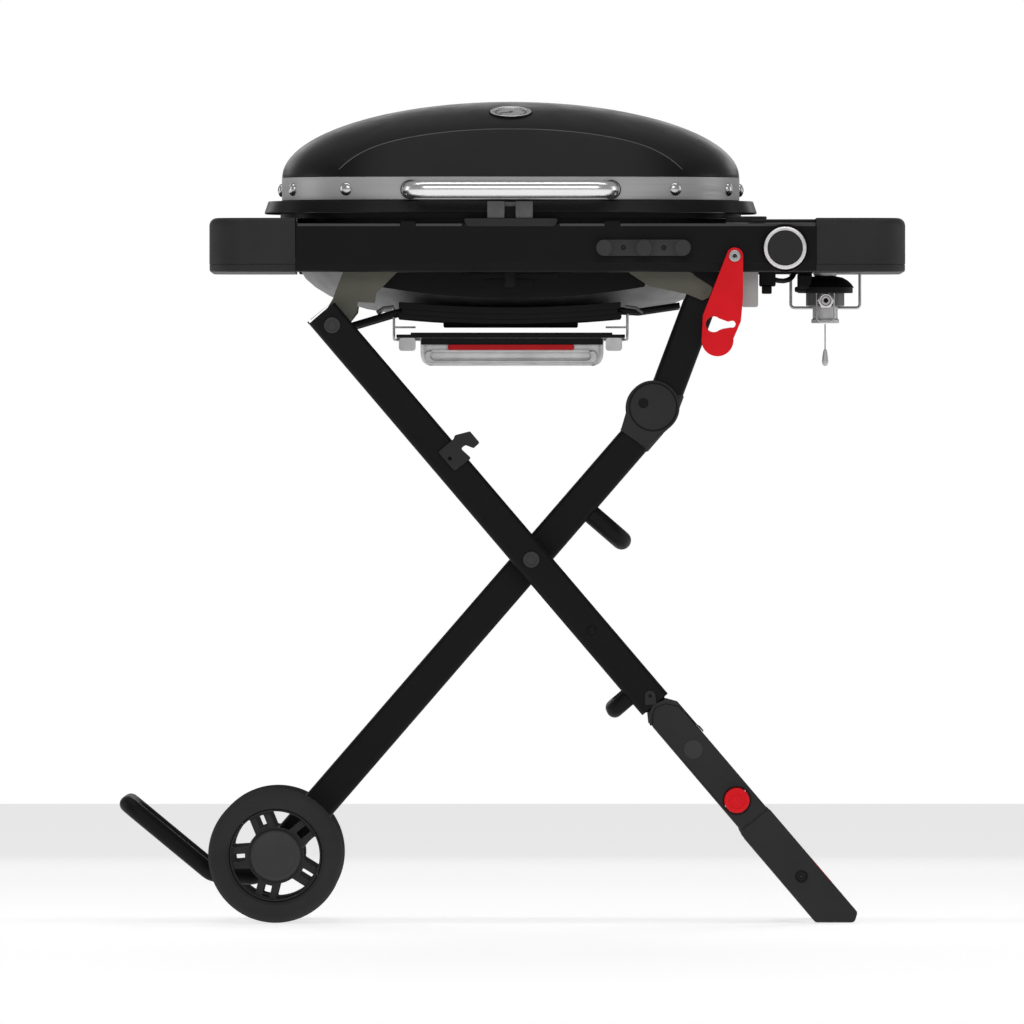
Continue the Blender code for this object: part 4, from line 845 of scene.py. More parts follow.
def make_tables():
    for side in ("left", "right"):
        low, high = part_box("side_table_" + side)
        if side == "left":
            outer, inner = low.x, high.x
        else:
            outer, inner = high.x, 0.3493
        way = 1.0 if outer > inner else -1.0
        turn = 0.040
        outline = [Vector((inner, low.y)), Vector((outer, low.y)), Vector((outer, high.y)), Vector((inner, high.y))]
        shaped = [outline[0]]
        for corner, start in ((Vector((outer - way * turn, low.y + turn)), -90.0), (Vector((outer - way * turn, high.y - turn)), 0.0)):
            for k in range(15):
                a = math.radians(start + 90.0 * k / 14)
                shaped.append(corner + Vector((way * math.cos(a), math.sin(a))) * turn)
        shaped.append(outline[3])
        z0, z1 = low.z, high.z
        line = 0.7550
        levels = [(z0, 0.0034), (z0 + 0.0003, 0.0018), (z0 + 0.0010, 0.0008), (z0 + 0.0022, 0.0003), (z0 + 0.0056, 0.0002),
                  (line - 0.0004, 0.0002), (line - 0.0002, 0.0008), (line + 0.0003, 0.0008), (line + 0.0005, 0.0),
                  (z1 - 0.0085, 0.0), (z1 - 0.0060, 0.0005), (z1 - 0.0034, 0.0018), (z1 - 0.0014, 0.0040),
                  (z1 - 0.0003, 0.0068), (z1, 0.0092), (z1, 0.0150), (z1 - 0.0005, 0.0154), (z1 - 0.0005, 0.0162), (z1, 0.0166)]
        form = bmesh.new()
        stacked(form, shaped, levels, inner)
        emit(form, "end_table_" + side, "grill", "plastic", ("side_table_" + side,), 30.0)
        if side == "right":
            form = bmesh.new()
            deck = rectangle((0.2700, -0.1955), (0.3520, 0.1955), 0.0060, 4)
            plate(form, [deck], (0.8030, 0.8070), 0.0010, 2, level)
            tab = rectangle((0.2452, -0.1900), (0.2925, 0.1900), 0.0120, 5)
            plate(form, [tab], (0.8030, 0.8104), 0.0010, 2, level)
            emit(form, "table_tongue", "grill", "plastic")


def make_brackets():
    reach = 0.7950
    left = [(-0.1943, reach), (-0.1943, 0.7458), (-0.2056, 0.7159)]
    left += arc(LEG_PIVOT, 0.0150, 150.0, 300.0, 10)
    left += [(-0.1846, 0.6932), (-0.1782, 0.7013), (-0.1768, 0.7118), (-0.1573, 0.7109), (-0.1555, 0.7222),
             (-0.1322, 0.7458), (-0.1322, reach)]
    right = [(0.1341, reach), (0.1341, 0.7458), (0.1576, 0.7300), (0.2011, 0.7209), (0.2188, 0.7136),
             (0.2263, 0.7174), (0.2310, 0.7287), (0.2072, 0.7443), (0.2072, reach)]
    gusset = [(0.2050, reach), (0.2050, 0.7462), (0.2318, 0.7288), (0.2420, 0.7330), (0.2420, reach)]
    for side, sign in sides():
        form = bmesh.new()
        plate(form, [[Vector(p) for p in left]], span((0.1920, 0.1950), sign), 0.0006, 2)
        emit(form, "left_bracket_" + side, "grill", "olive", ("leg_bracket_left_" + side,))
        form = bmesh.new()
        pivot_cap(form, LEG_PIVOT, CAP_RADIUS, 0.2221, sign, 0.0028)
        disc(form, LEG_PIVOT, 0.0050, sign * 0.1935, sign * 0.2230, 0.0006, 24)
        emit(form, "leg_pivot_cap_" + side, "grill", "cap_plastic")
        form = bmesh.new()
        plate(form, [rounded([Vector(p) for p in right], 0.0030, 3)], span((0.1920, 0.1950), sign), 0.0006, 2)
        emit(form, "right_bracket_" + side, "grill", "olive", ("leg_bracket_right_" + side,))
        form = bmesh.new()
        plate(form, [rounded([Vector(p) for p in gusset], 0.0015, 3)], span((0.1951, 0.1963), sign), 0.0003)
        emit(form, "right_gusset_" + side, "grill", "paint")
        form = bmesh.new()
        ring_plate(form, ARM_PIVOT, 0.0016, 0.0040, sign * 0.1948, sign * 0.1958, 0.0005, 32)
        disc(form, ARM_PIVOT, 0.0016, sign * 0.1940, sign * 0.1953, 0.0003, 16)
        emit(form, "arm_rivet_" + side, "grill", "olive")
    low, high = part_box("hanger_plate")
    form = bmesh.new()
    outline = [(low.x, high.z), (low.x, low.z), (high.x, low.z), (high.x, high.z)]
    plate(form, [rounded([Vector(p) for p in outline], 0.0028, 4)], (low.y, high.y), 0.0005)
    emit(form, "hanger", "grill", "grey_plate", ("hanger_plate",))


def make_hook_rail():
    low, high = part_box("tool_hook_rail")
    panel_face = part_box("front_panel")[0].y
    pegs = (0.1056, 0.1513, 0.1958)
    z = (low.z + high.z) / 2
    form = bmesh.new()
    half = (high.z - low.z) / 2
    outline = arc((low.x + half, z), half, 90.0, 270.0, 14) + arc((high.x - half, z), half, -90.0, 90.0, 14)
    plate(form, [outline], (panel_face - 0.0058, panel_face + 0.0004), 0.0008, 3)
    for x in pegs:
        disc(form, (x, z), 0.0048, panel_face - 0.0050, low.y + 0.0030, 0.0004, 32)
        disc(form, (x, z), half, low.y + 0.0040, low.y, 0.0012, 48)
    emit(form, "hook_rail", "grill", "cap_plastic", ("tool_hook_rail",))
    form = bmesh.new()
    for x in ((pegs[0] + pegs[1]) / 2 - 0.0006, (pegs[1] + pegs[2]) / 2 + 0.0006):
        ring_plate(form, (x, z), 0.0012, 0.0028, panel_face - 0.0056, panel_face - 0.0064, 0.0004, 24)
    emit(form, "hook_rail_screws", "grill", "dark_plastic")


def make_controls():
    knob = JOINTS["knob_turn"].xz
    panel_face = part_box("front_panel")[0].y
    low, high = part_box("control_knob")
    form = bmesh.new()
    ring_plate(form, knob, 0.0252, 0.0278, panel_face + 0.0004, panel_face - 0.0032, 0.0012, 96)
    ring_plate(form, knob, 0.0205, 0.0258, panel_face + 0.0004, panel_face - 0.0010, 0.0004, 96)
    emit(form, "knob_bezel", "grill", "dark_plastic")
    form = bmesh.new()
    face = low.y
    turned(form, [(0.0, high.y), (0.0190, high.y), (0.0196, high.y - 0.0006), (0.0196, face + 0.0012), (0.0192, face + 0.0003),
                  (0.0184, face), (0.0160, face + 0.0001), (0.0, face + 0.0006)], about_y(*knob), 72)
    emit(form, "knob_face", "knob", "plastic", ("control_knob",))
    form = bmesh.new()
    ring_low, ring_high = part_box("knob_ring")
    front = ring_low.y
    profile = [(0.0199, ring_high.y), (0.0238, ring_high.y), (0.0245, ring_high.y - 0.0008), (0.0245, front + 0.0016),
               (0.0243, front + 0.0007), (0.0237, front + 0.0001), (0.0206, front), (0.0201, front + 0.0003), (0.0199, front + 0.0010)]
    turned(form, profile, about_y(*knob), 96, True)
    emit(form, "knob_trim", "knob", "trim", ("knob_ring",), 50.0)
    pivot = JOINTS["lever_swing"].xz
    low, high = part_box("lock_lever")
    foot = (0.2357, 0.6678)
    outline = arc(pivot, 0.0097, 0.0, 145.0, 14) + [(0.2188, 0.6963)]
    outline += arc(foot, 0.0184, 170.0, 366.0, 28) + [(0.2625, 0.6894), (0.2649, 0.7147)]
    keyhole = arc((0.2314, 0.6862), 0.0090, 48.0, 312.0, 20)
    keyhole += [(0.2420, 0.6812), (0.2480, 0.6822)] + arc((0.2525, 0.6863), 0.0039, -110.0, 110.0, 12) + [(0.2480, 0.6890), (0.2420, 0.6912)]
    form = bmesh.new()
    plate(form, [outline, keyhole, circle(pivot, 0.0030, 24)], (low.y, high.y), 0.0007, 3)
    ring_plate(form, pivot, 0.0072, 0.0094, low.y + 0.0004, low.y - 0.0010, 0.0005, 48)
    emit(form, "lever_plate", "lever", "red", ("lock_lever",))
    form = bmesh.new()
    ring_plate(form, pivot, 0.0024, 0.0066, low.y - 0.0001, low.y - 0.0016, 0.0005, 40)
    disc(form, pivot, 0.0026, -0.2190, low.y - 0.0006, 0.0003, 24)
    emit(form, "lever_screw", "grill", "screw")
    form = bmesh.new()
    ring_plate(form, pivot, 0.0004, 0.0026, low.y - 0.0004, low.y - 0.0009, 0.0002, 6)
    emit(form, "lever_screw_socket", "grill", "dark_plastic")


def make_gas():
    x, y = 0.3602, -0.1100
    form = bmesh.new()
    post = Matrix.Translation((x, y, 0.0))
    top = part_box("regulator")[1].z
    turned(form, [(0.0, top), (0.0132, top), (0.0132, 0.7428), (0.0120, 0.7424), (0.0, 0.7424)], post, 40)
    emit(form, "regulator_neck", "grill", "alloy")
    form = bmesh.new()
    turned(form, [(0.0, 0.7426), (0.0110, 0.7424), (0.0200, 0.7406), (0.0260, 0.7372), (0.0300, 0.7335), (0.0326, 0.7298),
                  (0.0330, 0.7290), (0.0326, 0.7286), (0.0318, 0.7284), (0.0318, 0.7232), (0.0312, 0.7226), (0.0, 0.7226)], post, 72)
    emit(form, "regulator_dome", "grill", "dark_plastic", (), 50.0)
    form = bmesh.new()
    turned(form, [(0.0, 0.7228), (0.0218, 0.7228), (0.0221, 0.7222), (0.0221, 0.7086), (0.0216, 0.7078), (0.0146, 0.7074),
                  (0.0, 0.7074)], post, 60)
    emit(form, "regulator_body", "grill", "dark_alloy", ("regulator",), 30.0)
    form = bmesh.new()
    turned(form, [(0.0, 0.7076), (0.0140, 0.7076), (0.0144, 0.7066), (0.0144, 0.6935), (0.0152, 0.6926), (0.0160, 0.6920),
                  (0.0160, 0.6888), (0.0155, 0.6880), (0.0, 0.6880)], post, 60)
    emit(form, "regulator_outlet", "grill", "alloy", (), 30.0)
    form = bmesh.new()
    port = (x + 0.0006, 0.7142)
    ring_plate(form, port, 0.0070, 0.0098, y - 0.0190, y - 0.0275, 0.0012, 6)
    ring_plate(form, port, 0.0058, 0.0078, y - 0.0200, y - 0.0290, 0.0009, 48)
    emit(form, "regulator_port", "grill", "trim")
    form = bmesh.new()
    ring_plate(form, port, 0.0026, 0.0056, y - 0.0190, y - 0.0282, 0.0009, 40)
    emit(form, "regulator_nut", "grill", "alloy")
    form = bmesh.new()
    low_z, high_z, half_loop = 0.6895, 0.7236, 0.0100
    loop = [(x - half_loop, y - 0.0236, high_z), (x - half_loop, y - 0.0236, low_z), (x + half_loop, y - 0.0236, low_z),
            (x + half_loop, y - 0.0236, high_z)]
    tube(form, bend(loop, 0.0060, 8), 0.0008, 12, 0.0002)
    emit(form, "regulator_clip", "grill", "wire")
    form = bmesh.new()
    disc(form, port, 0.0027, y - 0.0190, y - 0.0262, 0.0005, 32)
    block(form, (0.3280, y - 0.0260, 0.7270), (0.3452, y - 0.0080, 0.7455), 0.0030)
    block(form, (0.3250, y - 0.0240, 0.7235), (0.3400, y - 0.0100, 0.7300), 0.0020)
    emit(form, "regulator_inlet", "grill", "dark_plastic")
    low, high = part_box("regulator_pull")
    form = bmesh.new()
    tube(form, [(x, y, 0.6872), (x, y, 0.6700), (x, y, 0.6550)], 0.0008, 12, 0.0002)
    emit(form, "pull_cable", "regulator_pull", "wire")
    form = bmesh.new()
    turned(form, [(0.0, 0.6582), (0.0014, 0.6578), (0.0022, 0.6560), (0.0030, 0.6510), (0.0037, 0.6450), (0.0036, 0.6425),
                  (0.0026, 0.6400), (0.0012, 0.6390), (0.0, 0.6388)], post, 32)
    emit(form, "pull_tab", "regulator_pull", "alloy", ("regulator_pull",), 60.0)
    low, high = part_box("cylinder_bracket")
    wire = 0.0017
    plane = (low.y + high.y) / 2
    left, right, bottom = low.x + wire, high.x - wire, low.z + wire
    form = bmesh.new()
    tube(form, bend([(left, plane, high.z), (left, plane, bottom), (right, plane, bottom), (right, plane, high.z)], 0.004, 6), wire, 16)
    emit(form, "cylinder_hook", "grill", "wire", ("cylinder_bracket",))
    form = bmesh.new()
    low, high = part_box("gas_valve")
    cx, cz = JOINTS["knob_turn"].xz
    block(form, (cx - 0.0130, -0.1990, cz - 0.0140), (cx + 0.0130, -0.1700, cz + 0.0140), 0.0025)
    block(form, (0.3010, -0.1760, 0.7640), (0.3200, -0.1350, 0.7800), 0.0020)
    block(form, (0.2840, -0.1580, 0.7300), (0.3030, -0.1300, 0.7750), 0.0020)
    block(form, (0.2870, -0.1600, 0.7215), (0.2985, -0.1400, 0.7310), 0.0015)
    emit(form, "valve_housing", "grill", "paint", ("gas_valve",))
    form = bmesh.new()
    route = [(0.3000, -0.1440, 0.7385), (0.3060, -0.1435, 0.7368), (0.3120, -0.1405, 0.7364), (0.3170, -0.1330, 0.7376),
             (0.3205, -0.1230, 0.7395), (0.3230, -0.1170, 0.7420), (0.3245, -0.1150, 0.7455)]
    tube(form, bend(route, 0.006, 3), 0.0029, 20)
    emit(form, "gas_hose_run", "grill", "hose", ("gas_hose",))


def make_latch():
    low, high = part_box("lock_block")
    slot = (-0.0085, 0.0040)
    form = bmesh.new()
    base, top = 0.8080, high.z
    plate(form, [rectangle((-0.0285, base), (slot[0], top), 0.0010, 2)], (low.y, high.y), 0.0008)
    plate(form, [rectangle((slot[1], base), (0.0240, top), 0.0010, 2)], (low.y, high.y), 0.0008)
    block(form, (-0.0275, high.y - 0.0022, 0.8145), (0.0230, high.y, top - 0.0010), 0.0006)
    emit(form, "latch_guide", "grill", "dark_alloy", ("lock_block",))
    form = bmesh.new()
    ledge = [(-0.0560, 0.8078), (0.0532, 0.8078), (0.0500, 0.8000), (0.0470, 0.7985), (-0.0498, 0.7985), (-0.0528, 0.8000)]
    plate(form, [rounded([Vector(p) for p in ledge], 0.0020, 3)], (-0.2236, -0.2172), 0.0010)
    block(form, (-0.0540, -0.2174, 0.8000), (slot[0] - 0.0004, -0.2070, 0.8076), 0.0006)
    block(form, (slot[1] + 0.0004, -0.2174, 0.8000), (0.0510, -0.2070, 0.8076), 0.0006)
    emit(form, "latch_ledge", "grill", "plastic")
    low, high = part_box("lid_lock_slider")
    form = bmesh.new()
    left, right = slot[0] + 0.0005, slot[1] - 0.0005
    block(form, (left, -0.1988, 0.7290), (right, -0.1966, 0.8037), 0.0006)
    block(form, (left, -0.2160, 0.8019), (right, -0.1966, 0.8037), 0.0006)
    block(form, (left, -0.2160, 0.8019), (right, -0.2136, 0.8215), 0.0006)
    for step in range(3):
        block(form, (left + 0.001, -0.2168, 0.8115 + 0.003 * step), (right - 0.001, -0.2156, 0.8128 + 0.003 * step), 0.0003)
    emit(form, "latch_slider", "lid_lock", "dark_plastic", ("lid_lock_slider",))


# ---- lid --------------------------------------------------------------------
LID_X = -0.0015
LID_HALF = (0.2635, 0.2050)
LID_BASE = 0.8565
LID_TOP = 0.9440
BAND_Z = (0.8292, 0.8562)
SHIELD_HALF = 0.2140
SHIELD_LEAN = 0.82


def dome_point(turn, lift, offset=0.0):
    """A point of the plain dome; turn is the plan angle, lift runs from 0 at its base to 1 on top."""
    share = math.sqrt(max(0.0, 1.0 - lift * lift))
    power = 3.0 - 0.9 * lift
    c, s = math.cos(turn), math.sin(turn)
    x = math.copysign(abs(c) ** (2 / power), c) * (LID_HALF[0] * share - offset)
    y = math.copysign(abs(s) ** (2 / power), s) * (LID_HALF[1] * share - offset)
    return Vector((x, y, (LID_TOP - LID_BASE - offset) * lift))


def shield_y(x, rise):
    """Y of the flat front face at x, at a height above the lid's base."""
    edge = LID_HALF[1] * (1.0 - min(1.0, abs(x) / LID_HALF[0]) ** 3) ** (1 / 3)
    fade = max(0.0, 1.0 - abs(x / SHIELD_HALF) ** 8)
    return -(edge - SHIELD_LEAN * fade * rise)


def crease_lift(turn):
    """How high the front face reaches at a plan angle."""
    if math.sin(turn) >= 0:
        return 0.0
    lift = 0.004
    while lift < 0.95:
        point = dome_point(turn, lift)
        if point.y > shield_y(point.x, point.z) or abs(point.x) > SHIELD_HALF:
            return lift
        lift += 0.002
    return 0.0


def make_crease_highlight(turns, creases):
    """A fine lighter-grey bead along the edge where the flat front face meets the dome: a painted highlight on the
    crease.
    """
    bead = 0.0005
    route = []
    for turn, crease in zip(turns, creases):
        point = dome_point(turn, crease)
        if crease > 0.06 and abs(point.x) < SHIELD_HALF:
            route.append(Vector((LID_X + point.x, point.y - bead * 0.3, LID_BASE + point.z - bead * 0.4)))
    form = bmesh.new()
    tube(form, route, bead, 8, 0.0002)
    emit(form, "lid_crease_painted_highlight", "lid", "crease")


def make_lid():
    columns, below, above = 240, 14, 26
    form = bmesh.new()
    turns = [2 * math.pi * (i + 0.5) / columns for i in range(columns)]
    creases = [max(crease_lift(turn), 0.03) for turn in turns]
    rings = []
    for layer, offset in (("outside", 0.0), ("inside", 0.0022)):
        layer_rings = []
        for row in range(below + above):
            ring = []
            for turn, crease in zip(turns, creases):
                if row <= below:
                    lift = crease * row / below
                else:
                    part = (row - below) / (above - 0.35)
                    lift = crease + (1.0 - crease) * math.sin(part * math.pi / 2)
                point = dome_point(turn, min(lift, 0.9995), offset)
                if math.sin(turn) < 0 and abs(point.x) < SHIELD_HALF:
                    point.y = max(point.y, shield_y(point.x, point.z) + offset)
                ring.append(Vector((LID_X + point.x, point.y, LID_BASE + point.z)))
            layer_rings.append(ring)
        if layer == "inside":
            layer_rings.reverse()
        rings.append(layer_rings)
    skirt = (LID_HALF[0] - 0.0032, LID_HALF[1] - 0.0032)

    def skirt_ring(z, inset):
        flat = [dome_point(turn, 0.0) for turn in turns]
        return [Vector((LID_X + p.x * (skirt[0] - inset) / LID_HALF[0], p.y * (skirt[1] - inset) / LID_HALF[1], z)) for p in flat]

    base = [skirt_ring(BAND_Z[0] + 0.0012, 0.0), skirt_ring(LID_BASE - 0.0003, 0.0)]
    inner = [skirt_ring(LID_BASE, 0.0022), skirt_ring(BAND_Z[0] + 0.0012, 0.0022)]
    rows = loft(form, base + rings[0], False)
    form.faces.new(rows[-1])
    inner_rows = loft(form, rings[1] + inner, False)
    form.faces.new(inner_rows[0])
    for i in range(columns):
        j = (i + 1) % columns
        form.faces.new((rows[0][i], rows[0][j], inner_rows[-1][j], inner_rows[-1][i]))
    emit(form, "lid_dome", "lid", "enamel", ("lid_shell",), 11.0)
    make_crease_highlight(turns, creases)
    form = bmesh.new()
    out = 0.0003
    band = [(BAND_Z[0], -0.0008), (BAND_Z[0] + 0.0006, out), (BAND_Z[1] - 0.0006, out), (BAND_Z[1], -0.0006),
            (BAND_Z[1], -0.0024), (BAND_Z[0], -0.0024)]
    loft(form, [oval(LID_HALF[0] + grow, LID_HALF[1] + grow, 3.0, 200, z) for z, grow in band], False, True)
    emit(form, "lid_trim_band", "lid", "steel", ("lid_band",), 50.0)
    form = bmesh.new()
    for x in (0.1890, 0.2500):
        for way in (-1.0, 1.0):
            for depth in (-1.0, 1.0):
                y = depth * LID_HALF[1] * (1 - (x / LID_HALF[0]) ** 3) ** (1 / 3)
                slope = Vector((way * (x / LID_HALF[0]) ** 2 / LID_HALF[0], depth * (abs(y) / LID_HALF[1]) ** 2 / LID_HALF[1], 0))
                screw_head(form, Vector((LID_X + way * x, y, 0.8418)), slope.normalized())
    for way in (-1.0, 1.0):
        screw_head(form, Vector((LID_X + way * LID_HALF[0], 0.0, 0.8418)), Vector((way, 0, 0)))
    emit(form, "band_screws", "lid", "screw", (), 60.0)
    half, y_out, z, radius = 0.1156, -0.2470, 0.8409, 0.0098
    ends = -LID_HALF[1] + 0.0010
    route = [(LID_X - half, ends, z), (LID_X - half, y_out, z), (LID_X + half, y_out, z), (LID_X + half, ends, z)]
    form = bmesh.new()
    tube(form, bend(route, 0.024, 14), radius, 40)
    emit(form, "lid_grip", "lid", "polished", ("lid_handle",))
    # Thin black rings round the grip's ends where it meets the band: painted shade at the joint.
    form = bmesh.new()
    for way in (-1.0, 1.0):
        centre = (LID_X + way * half, z)
        ring_plate(form, centre, radius + 0.0001, radius + 0.0012, -0.2030, -0.2068, 0.0006, 48)
    emit(form, "grip_end_painted_shade", "lid", "dark_plastic")
    make_gauge()


def screw_head(form, place, outward):
    """A domed screw head on the band."""
    radius = 0.0077
    turn = outward.to_track_quat("Z", "Y").to_matrix().to_4x4()
    rise = 0.0048
    profile = [(0.0, -0.0010), (radius, -0.0010), (radius, 0.0004)]
    profile += [(radius * math.cos(a), 0.0004 + rise * math.sin(a)) for a in (0.2, 0.4, 0.6, 0.8, 1.0, 1.2, 1.4)]
    profile.append((0.0, 0.0004 + rise))
    turned(form, profile, Matrix.Translation(place) @ turn, 32)


def make_gauge():
    seat = Matrix.Translation((LID_X, -0.1080, 0.9312)) @ Matrix.Rotation(math.radians(14.6), 4, "X")
    form = bmesh.new()
    turned(form, [(0.0, -0.0052), (0.0236, -0.0052), (0.0253, -0.0046), (0.0252, 0.0003), (0.0246, 0.0008), (0.0240, 0.0006),
                  (0.0238, 0.0003), (0.0238, -0.0033), (0.0, -0.0033)], seat, 72)
    emit(form, "gauge_collar", "lid", "dark_plastic")
    form = bmesh.new()
    turned(form, [(0.0212, -0.0002), (0.0217, 0.0008), (0.0228, 0.0012), (0.0236, 0.0009), (0.0239, 0.0002), (0.0239, -0.0032),
                  (0.0212, -0.0032)], seat, 72, True)
    emit(form, "gauge_bezel", "lid", "trim", ("thermometer",), 50.0)
    form = bmesh.new()
    turned(form, [(0.0, -0.0028), (0.0214, -0.0028), (0.0214, -0.0004), (0.0, -0.0002)], seat, 56)
    emit(form, "gauge_dial", "lid", "dial")
    form = bmesh.new()
    for k in range(21):
        turn = math.radians(225.0 - 13.5 * k)
        long = 0.0040 if k % 5 == 0 else 0.0022
        spot = seat @ Matrix.Rotation(turn, 4, "Z") @ Matrix.Translation((0.0185 - long / 2, 0.0, 0.0001))
        tick(form, spot, long, 0.0004)
    tick(form, seat @ Matrix.Rotation(math.radians(205.0), 4, "Z") @ Matrix.Translation((0.0060, 0.0, 0.0003)), 0.0180, 0.0007)
    turned(form, [(0.0, -0.0004), (0.0016, -0.0004), (0.0014, 0.0006), (0.0, 0.0008)], seat, 24)
    emit(form, "gauge_marks", "lid", "cap_plastic")


def tick(form, place, length, width):
    corners = [(-length / 2, -width / 2), (length / 2, -width / 2), (length / 2, width / 2), (-length / 2, width / 2)]
    loft(form, [[place @ Vector((x, y, height)) for x, y in corners] for height in (-0.0003, 0.0001)])


# ---- tray -------------------------------------------------------------------
def make_tray():
    low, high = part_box("drip_tray")
    form = bmesh.new()
    half_x, half_y = high.x, high.y
    outline = rectangle((-half_x, -half_y), (half_x, half_y), 0.0090, 6)
    top = high.z
    levels = [(low.z, 0.0130), (low.z + 0.0004, 0.0096), (low.z + 0.0018, 0.0058), (low.z + 0.0045, 0.0026), (low.z + 0.0085, 0.0008),
              (low.z + 0.0130, 0.0003), (top, 0.0), (top, 0.0014), (low.z + 0.0130, 0.0017), (low.z + 0.0088, 0.0024),
              (low.z + 0.0055, 0.0040), (low.z + 0.0030, 0.0072), (low.z + 0.0018, 0.0110), (low.z + 0.0016, 0.0140)]
    stacked(form, outline, levels)
    emit(form, "tray_pan", "tray", "alloy", ("drip_tray",), 50.0)
    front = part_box("tray_front")
    form = bmesh.new()
    y0, y1 = front[0].y, front[1].y + 0.0001
    block(form, (-half_x + 0.0008, y0 + 0.0022, 0.6632), (half_x - 0.0008, y1, 0.6708), 0.0010)
    emit(form, "tray_grip_band", "tray", "paint")
    # The red strip on the tray's front is real; its darker red than the lever's is painted shade.
    form = bmesh.new()
    plate(form, [rectangle((-0.0740, 0.6570), (0.0717, 0.6634), 0.0030, 5)], (y0, y1), 0.0008)
    emit(form, "tray_mark", "tray", "red_painted_shade", ("tray_front",))
    form = bmesh.new()
    hollow = rectangle((-0.0930, 0.6458), (0.0900, 0.6552), 0.0040, 5)
    plate(form, [rectangle((-0.1010, 0.6424), (0.0984, 0.6566), 0.0060, 5), hollow], (y0 + 0.0020, y1), 0.0018, 3)
    emit(form, "tray_front_frame", "tray", "alloy")
    low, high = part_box("tray_flange")
    form = bmesh.new()
    plate(form, [rectangle((low.x, low.y), (high.x, high.y), 0.0030, 4), rectangle((-half_x + 0.0022, -half_y + 0.0022),
          (half_x - 0.0022, half_y - 0.0022), 0.0070, 5)], (low.z, high.z), 0.0006, 2, level)
    block(form, (-0.1165, low.y + 0.0005, high.z - 0.0004), (0.1155, low.y + 0.0200, high.z + 0.0022), 0.0008)
    emit(form, "tray_rim", "tray", "paint", ("tray_flange",))
    form = bmesh.new()
    for x0, x1 in ((-0.1301, -0.1108), (0.1076, 0.1266)):
        tab = [(x0, 0.6712), (x0, 0.6561), (x1, 0.6561), (x1, 0.6712)]
        plate(form, [rounded([Vector(p) for p in tab], 0.0036, 5)], (low.y + 0.0010, low.y + 0.0024), 0.0004)
    emit(form, "tray_tabs", "tray", "alloy")
    low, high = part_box("tray_hanger")
    wire = 0.0015
    left, right = low.x + wire, high.x - wire
    z_low, z_top = low.z + wire, high.z
    route = [(left, -0.1200, z_top), (left, -0.1200, z_low), (left, 0.1480, z_low), (right, 0.1480, z_low),
             (right, -0.1200, z_low), (right, -0.1200, z_top)]
    form = bmesh.new()
    tube(form, bend(route, 0.005, 6), wire, 14)
    for x, way in ((left, 1.0), (right, -1.0)):
        tube(form, [(x, -0.1200, 0.6833), (x + way * 0.0130, -0.1200, 0.6833), (x + way * 0.0250, -0.1200, 0.6833)], 0.0011, 12, 0.0003)
    emit(form, "tray_wires", "grill", "wire", ("tray_hanger",))


# ---- CAD nodes that stay ----------------------------------------------------
KEPT = {
    "grate_left": "iron", "grate_right": "iron", "burner_tube": "wire", "rear_panel": "paint",
    "lid_hinge_leaf": "paint", "lid_hinge_rod": "screw", "valve_stem": "brass",
}


def dress_kept_nodes():
    for name, look in KEPT.items():
        node = frame["nodes"][name]
        node.data.materials.clear()
        node.data.materials.append(LOOKS[look])


# ---- stage ------------------------------------------------------------------
def make_stage():
    form = bmesh.new()
    reach = 16.0
    corners = [form.verts.new((x * reach, y * reach, -0.0004)) for x, y in ((-1, -1), (1, -1), (1, 1), (-1, 1))]
    form.faces.new(corners)
    mesh = bpy.data.meshes.new("floor")
    form.to_mesh(mesh)
    form.free()
    floor = bpy.data.objects.new("floor", mesh)
    bpy.context.scene.collection.objects.link(floor)
    look = Finish("pale_floor", (0.62, 0.62, 0.62), 0.7, 0.0, 0.2)
    look.tint(look.noise(0.5, 2.0), 0.01)
    look.shader.inputs["Emission Color"].default_value = (1.0, 1.0, 1.0, 1.0)
    look.shader.inputs["Emission Strength"].default_value = FLOOR_GLOW
    mesh.materials.append(look.material)


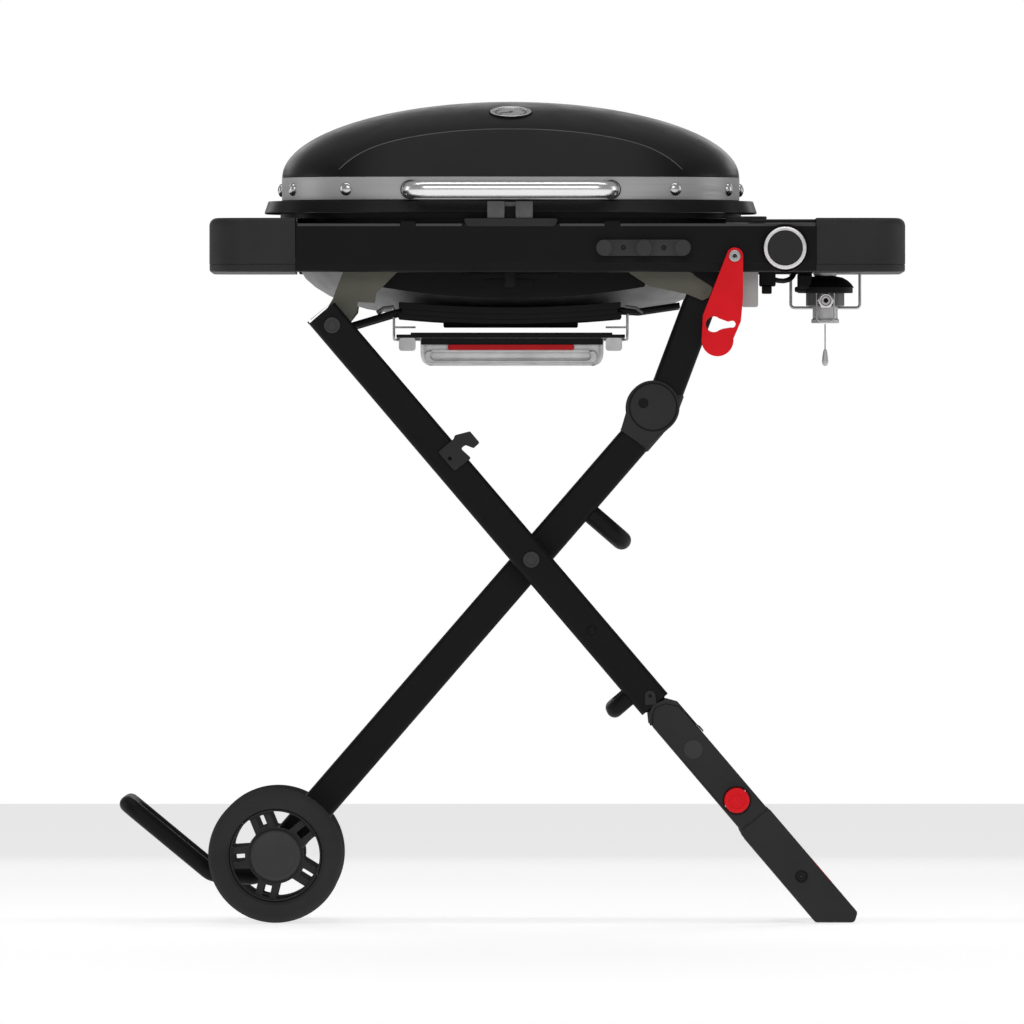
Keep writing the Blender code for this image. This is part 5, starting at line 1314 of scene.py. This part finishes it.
def area_light(name, place, aim, size, power):
    light = bpy.data.lights.new(name, "AREA")
    light.shape = "RECTANGLE"
    light.size, light.size_y = size
    light.energy = power
    holder = bpy.data.objects.new(name, light)
    holder.location = place
    holder.rotation_euler = (Vector(aim) - Vector(place)).to_track_quat("-Z", "Y").to_euler()
    bpy.context.scene.collection.objects.link(holder)
    return holder


def make_light():
    world = bpy.data.worlds.new("studio")
    bpy.context.scene.world = world
    world.use_nodes = True
    nodes, links = world.node_tree.nodes, world.node_tree.links
    background = nodes["Background"]
    background.inputs["Color"].default_value = (1.0, 1.0, 1.0, 1.0)
    path = nodes.new("ShaderNodeLightPath")
    reach = nodes.new("ShaderNodeMapRange")
    reach.inputs["To Min"].default_value = 0.28
    reach.inputs["To Max"].default_value = 1.0
    links.new(path.outputs["Is Camera Ray"], reach.inputs["Value"])
    links.new(reach.outputs["Result"], background.inputs["Strength"])
    centre = (0.0, 0.0, 0.6)
    area_light("front_softbox", (0.0, -8.5, 5.2), centre, (7.0, 3.4), 165.0)
    area_light("top_softbox", (0.0, -0.2, 4.6), centre, (5.0, 0.7), 40.0)
    area_light("back_softbox", (0.0, 7.0, 2.4), centre, (8.0, 1.4), 45.0)
    area_light("left_softbox", (-4.6, 0.8, 1.6), centre, (1.6, 2.4), 15.0)
    area_light("right_softbox", (4.6, 0.8, 1.6), centre, (1.6, 2.4), 15.0)
    bpy.context.scene.view_settings.view_transform = "Standard"


def make_camera():
    camera = bpy.data.cameras.new("camera")
    camera.sensor_width = SENSOR
    camera.lens = SENSOR * (VIEW_DISTANCE - VIEW_PLANE) / VIEW_WIDTH
    camera.clip_end = 4 * VIEW_DISTANCE
    holder = bpy.data.objects.new("camera", camera)
    holder.location = (0.0, -VIEW_DISTANCE, VIEW_HEIGHT)
    holder.rotation_euler = (math.pi / 2, 0.0, 0.0)
    bpy.context.scene.collection.objects.link(holder)
    bpy.context.scene.camera = holder


make_camera()
make_light()
make_stage()
make_outer_legs()
make_feet()
make_inner_legs()
make_arms()
make_wheels()
make_cook_box()
make_panels()
make_tables()
make_brackets()
make_hook_rail()
make_controls()
make_gas()
make_latch()
make_lid()
make_tray()
dress_kept_nodes()
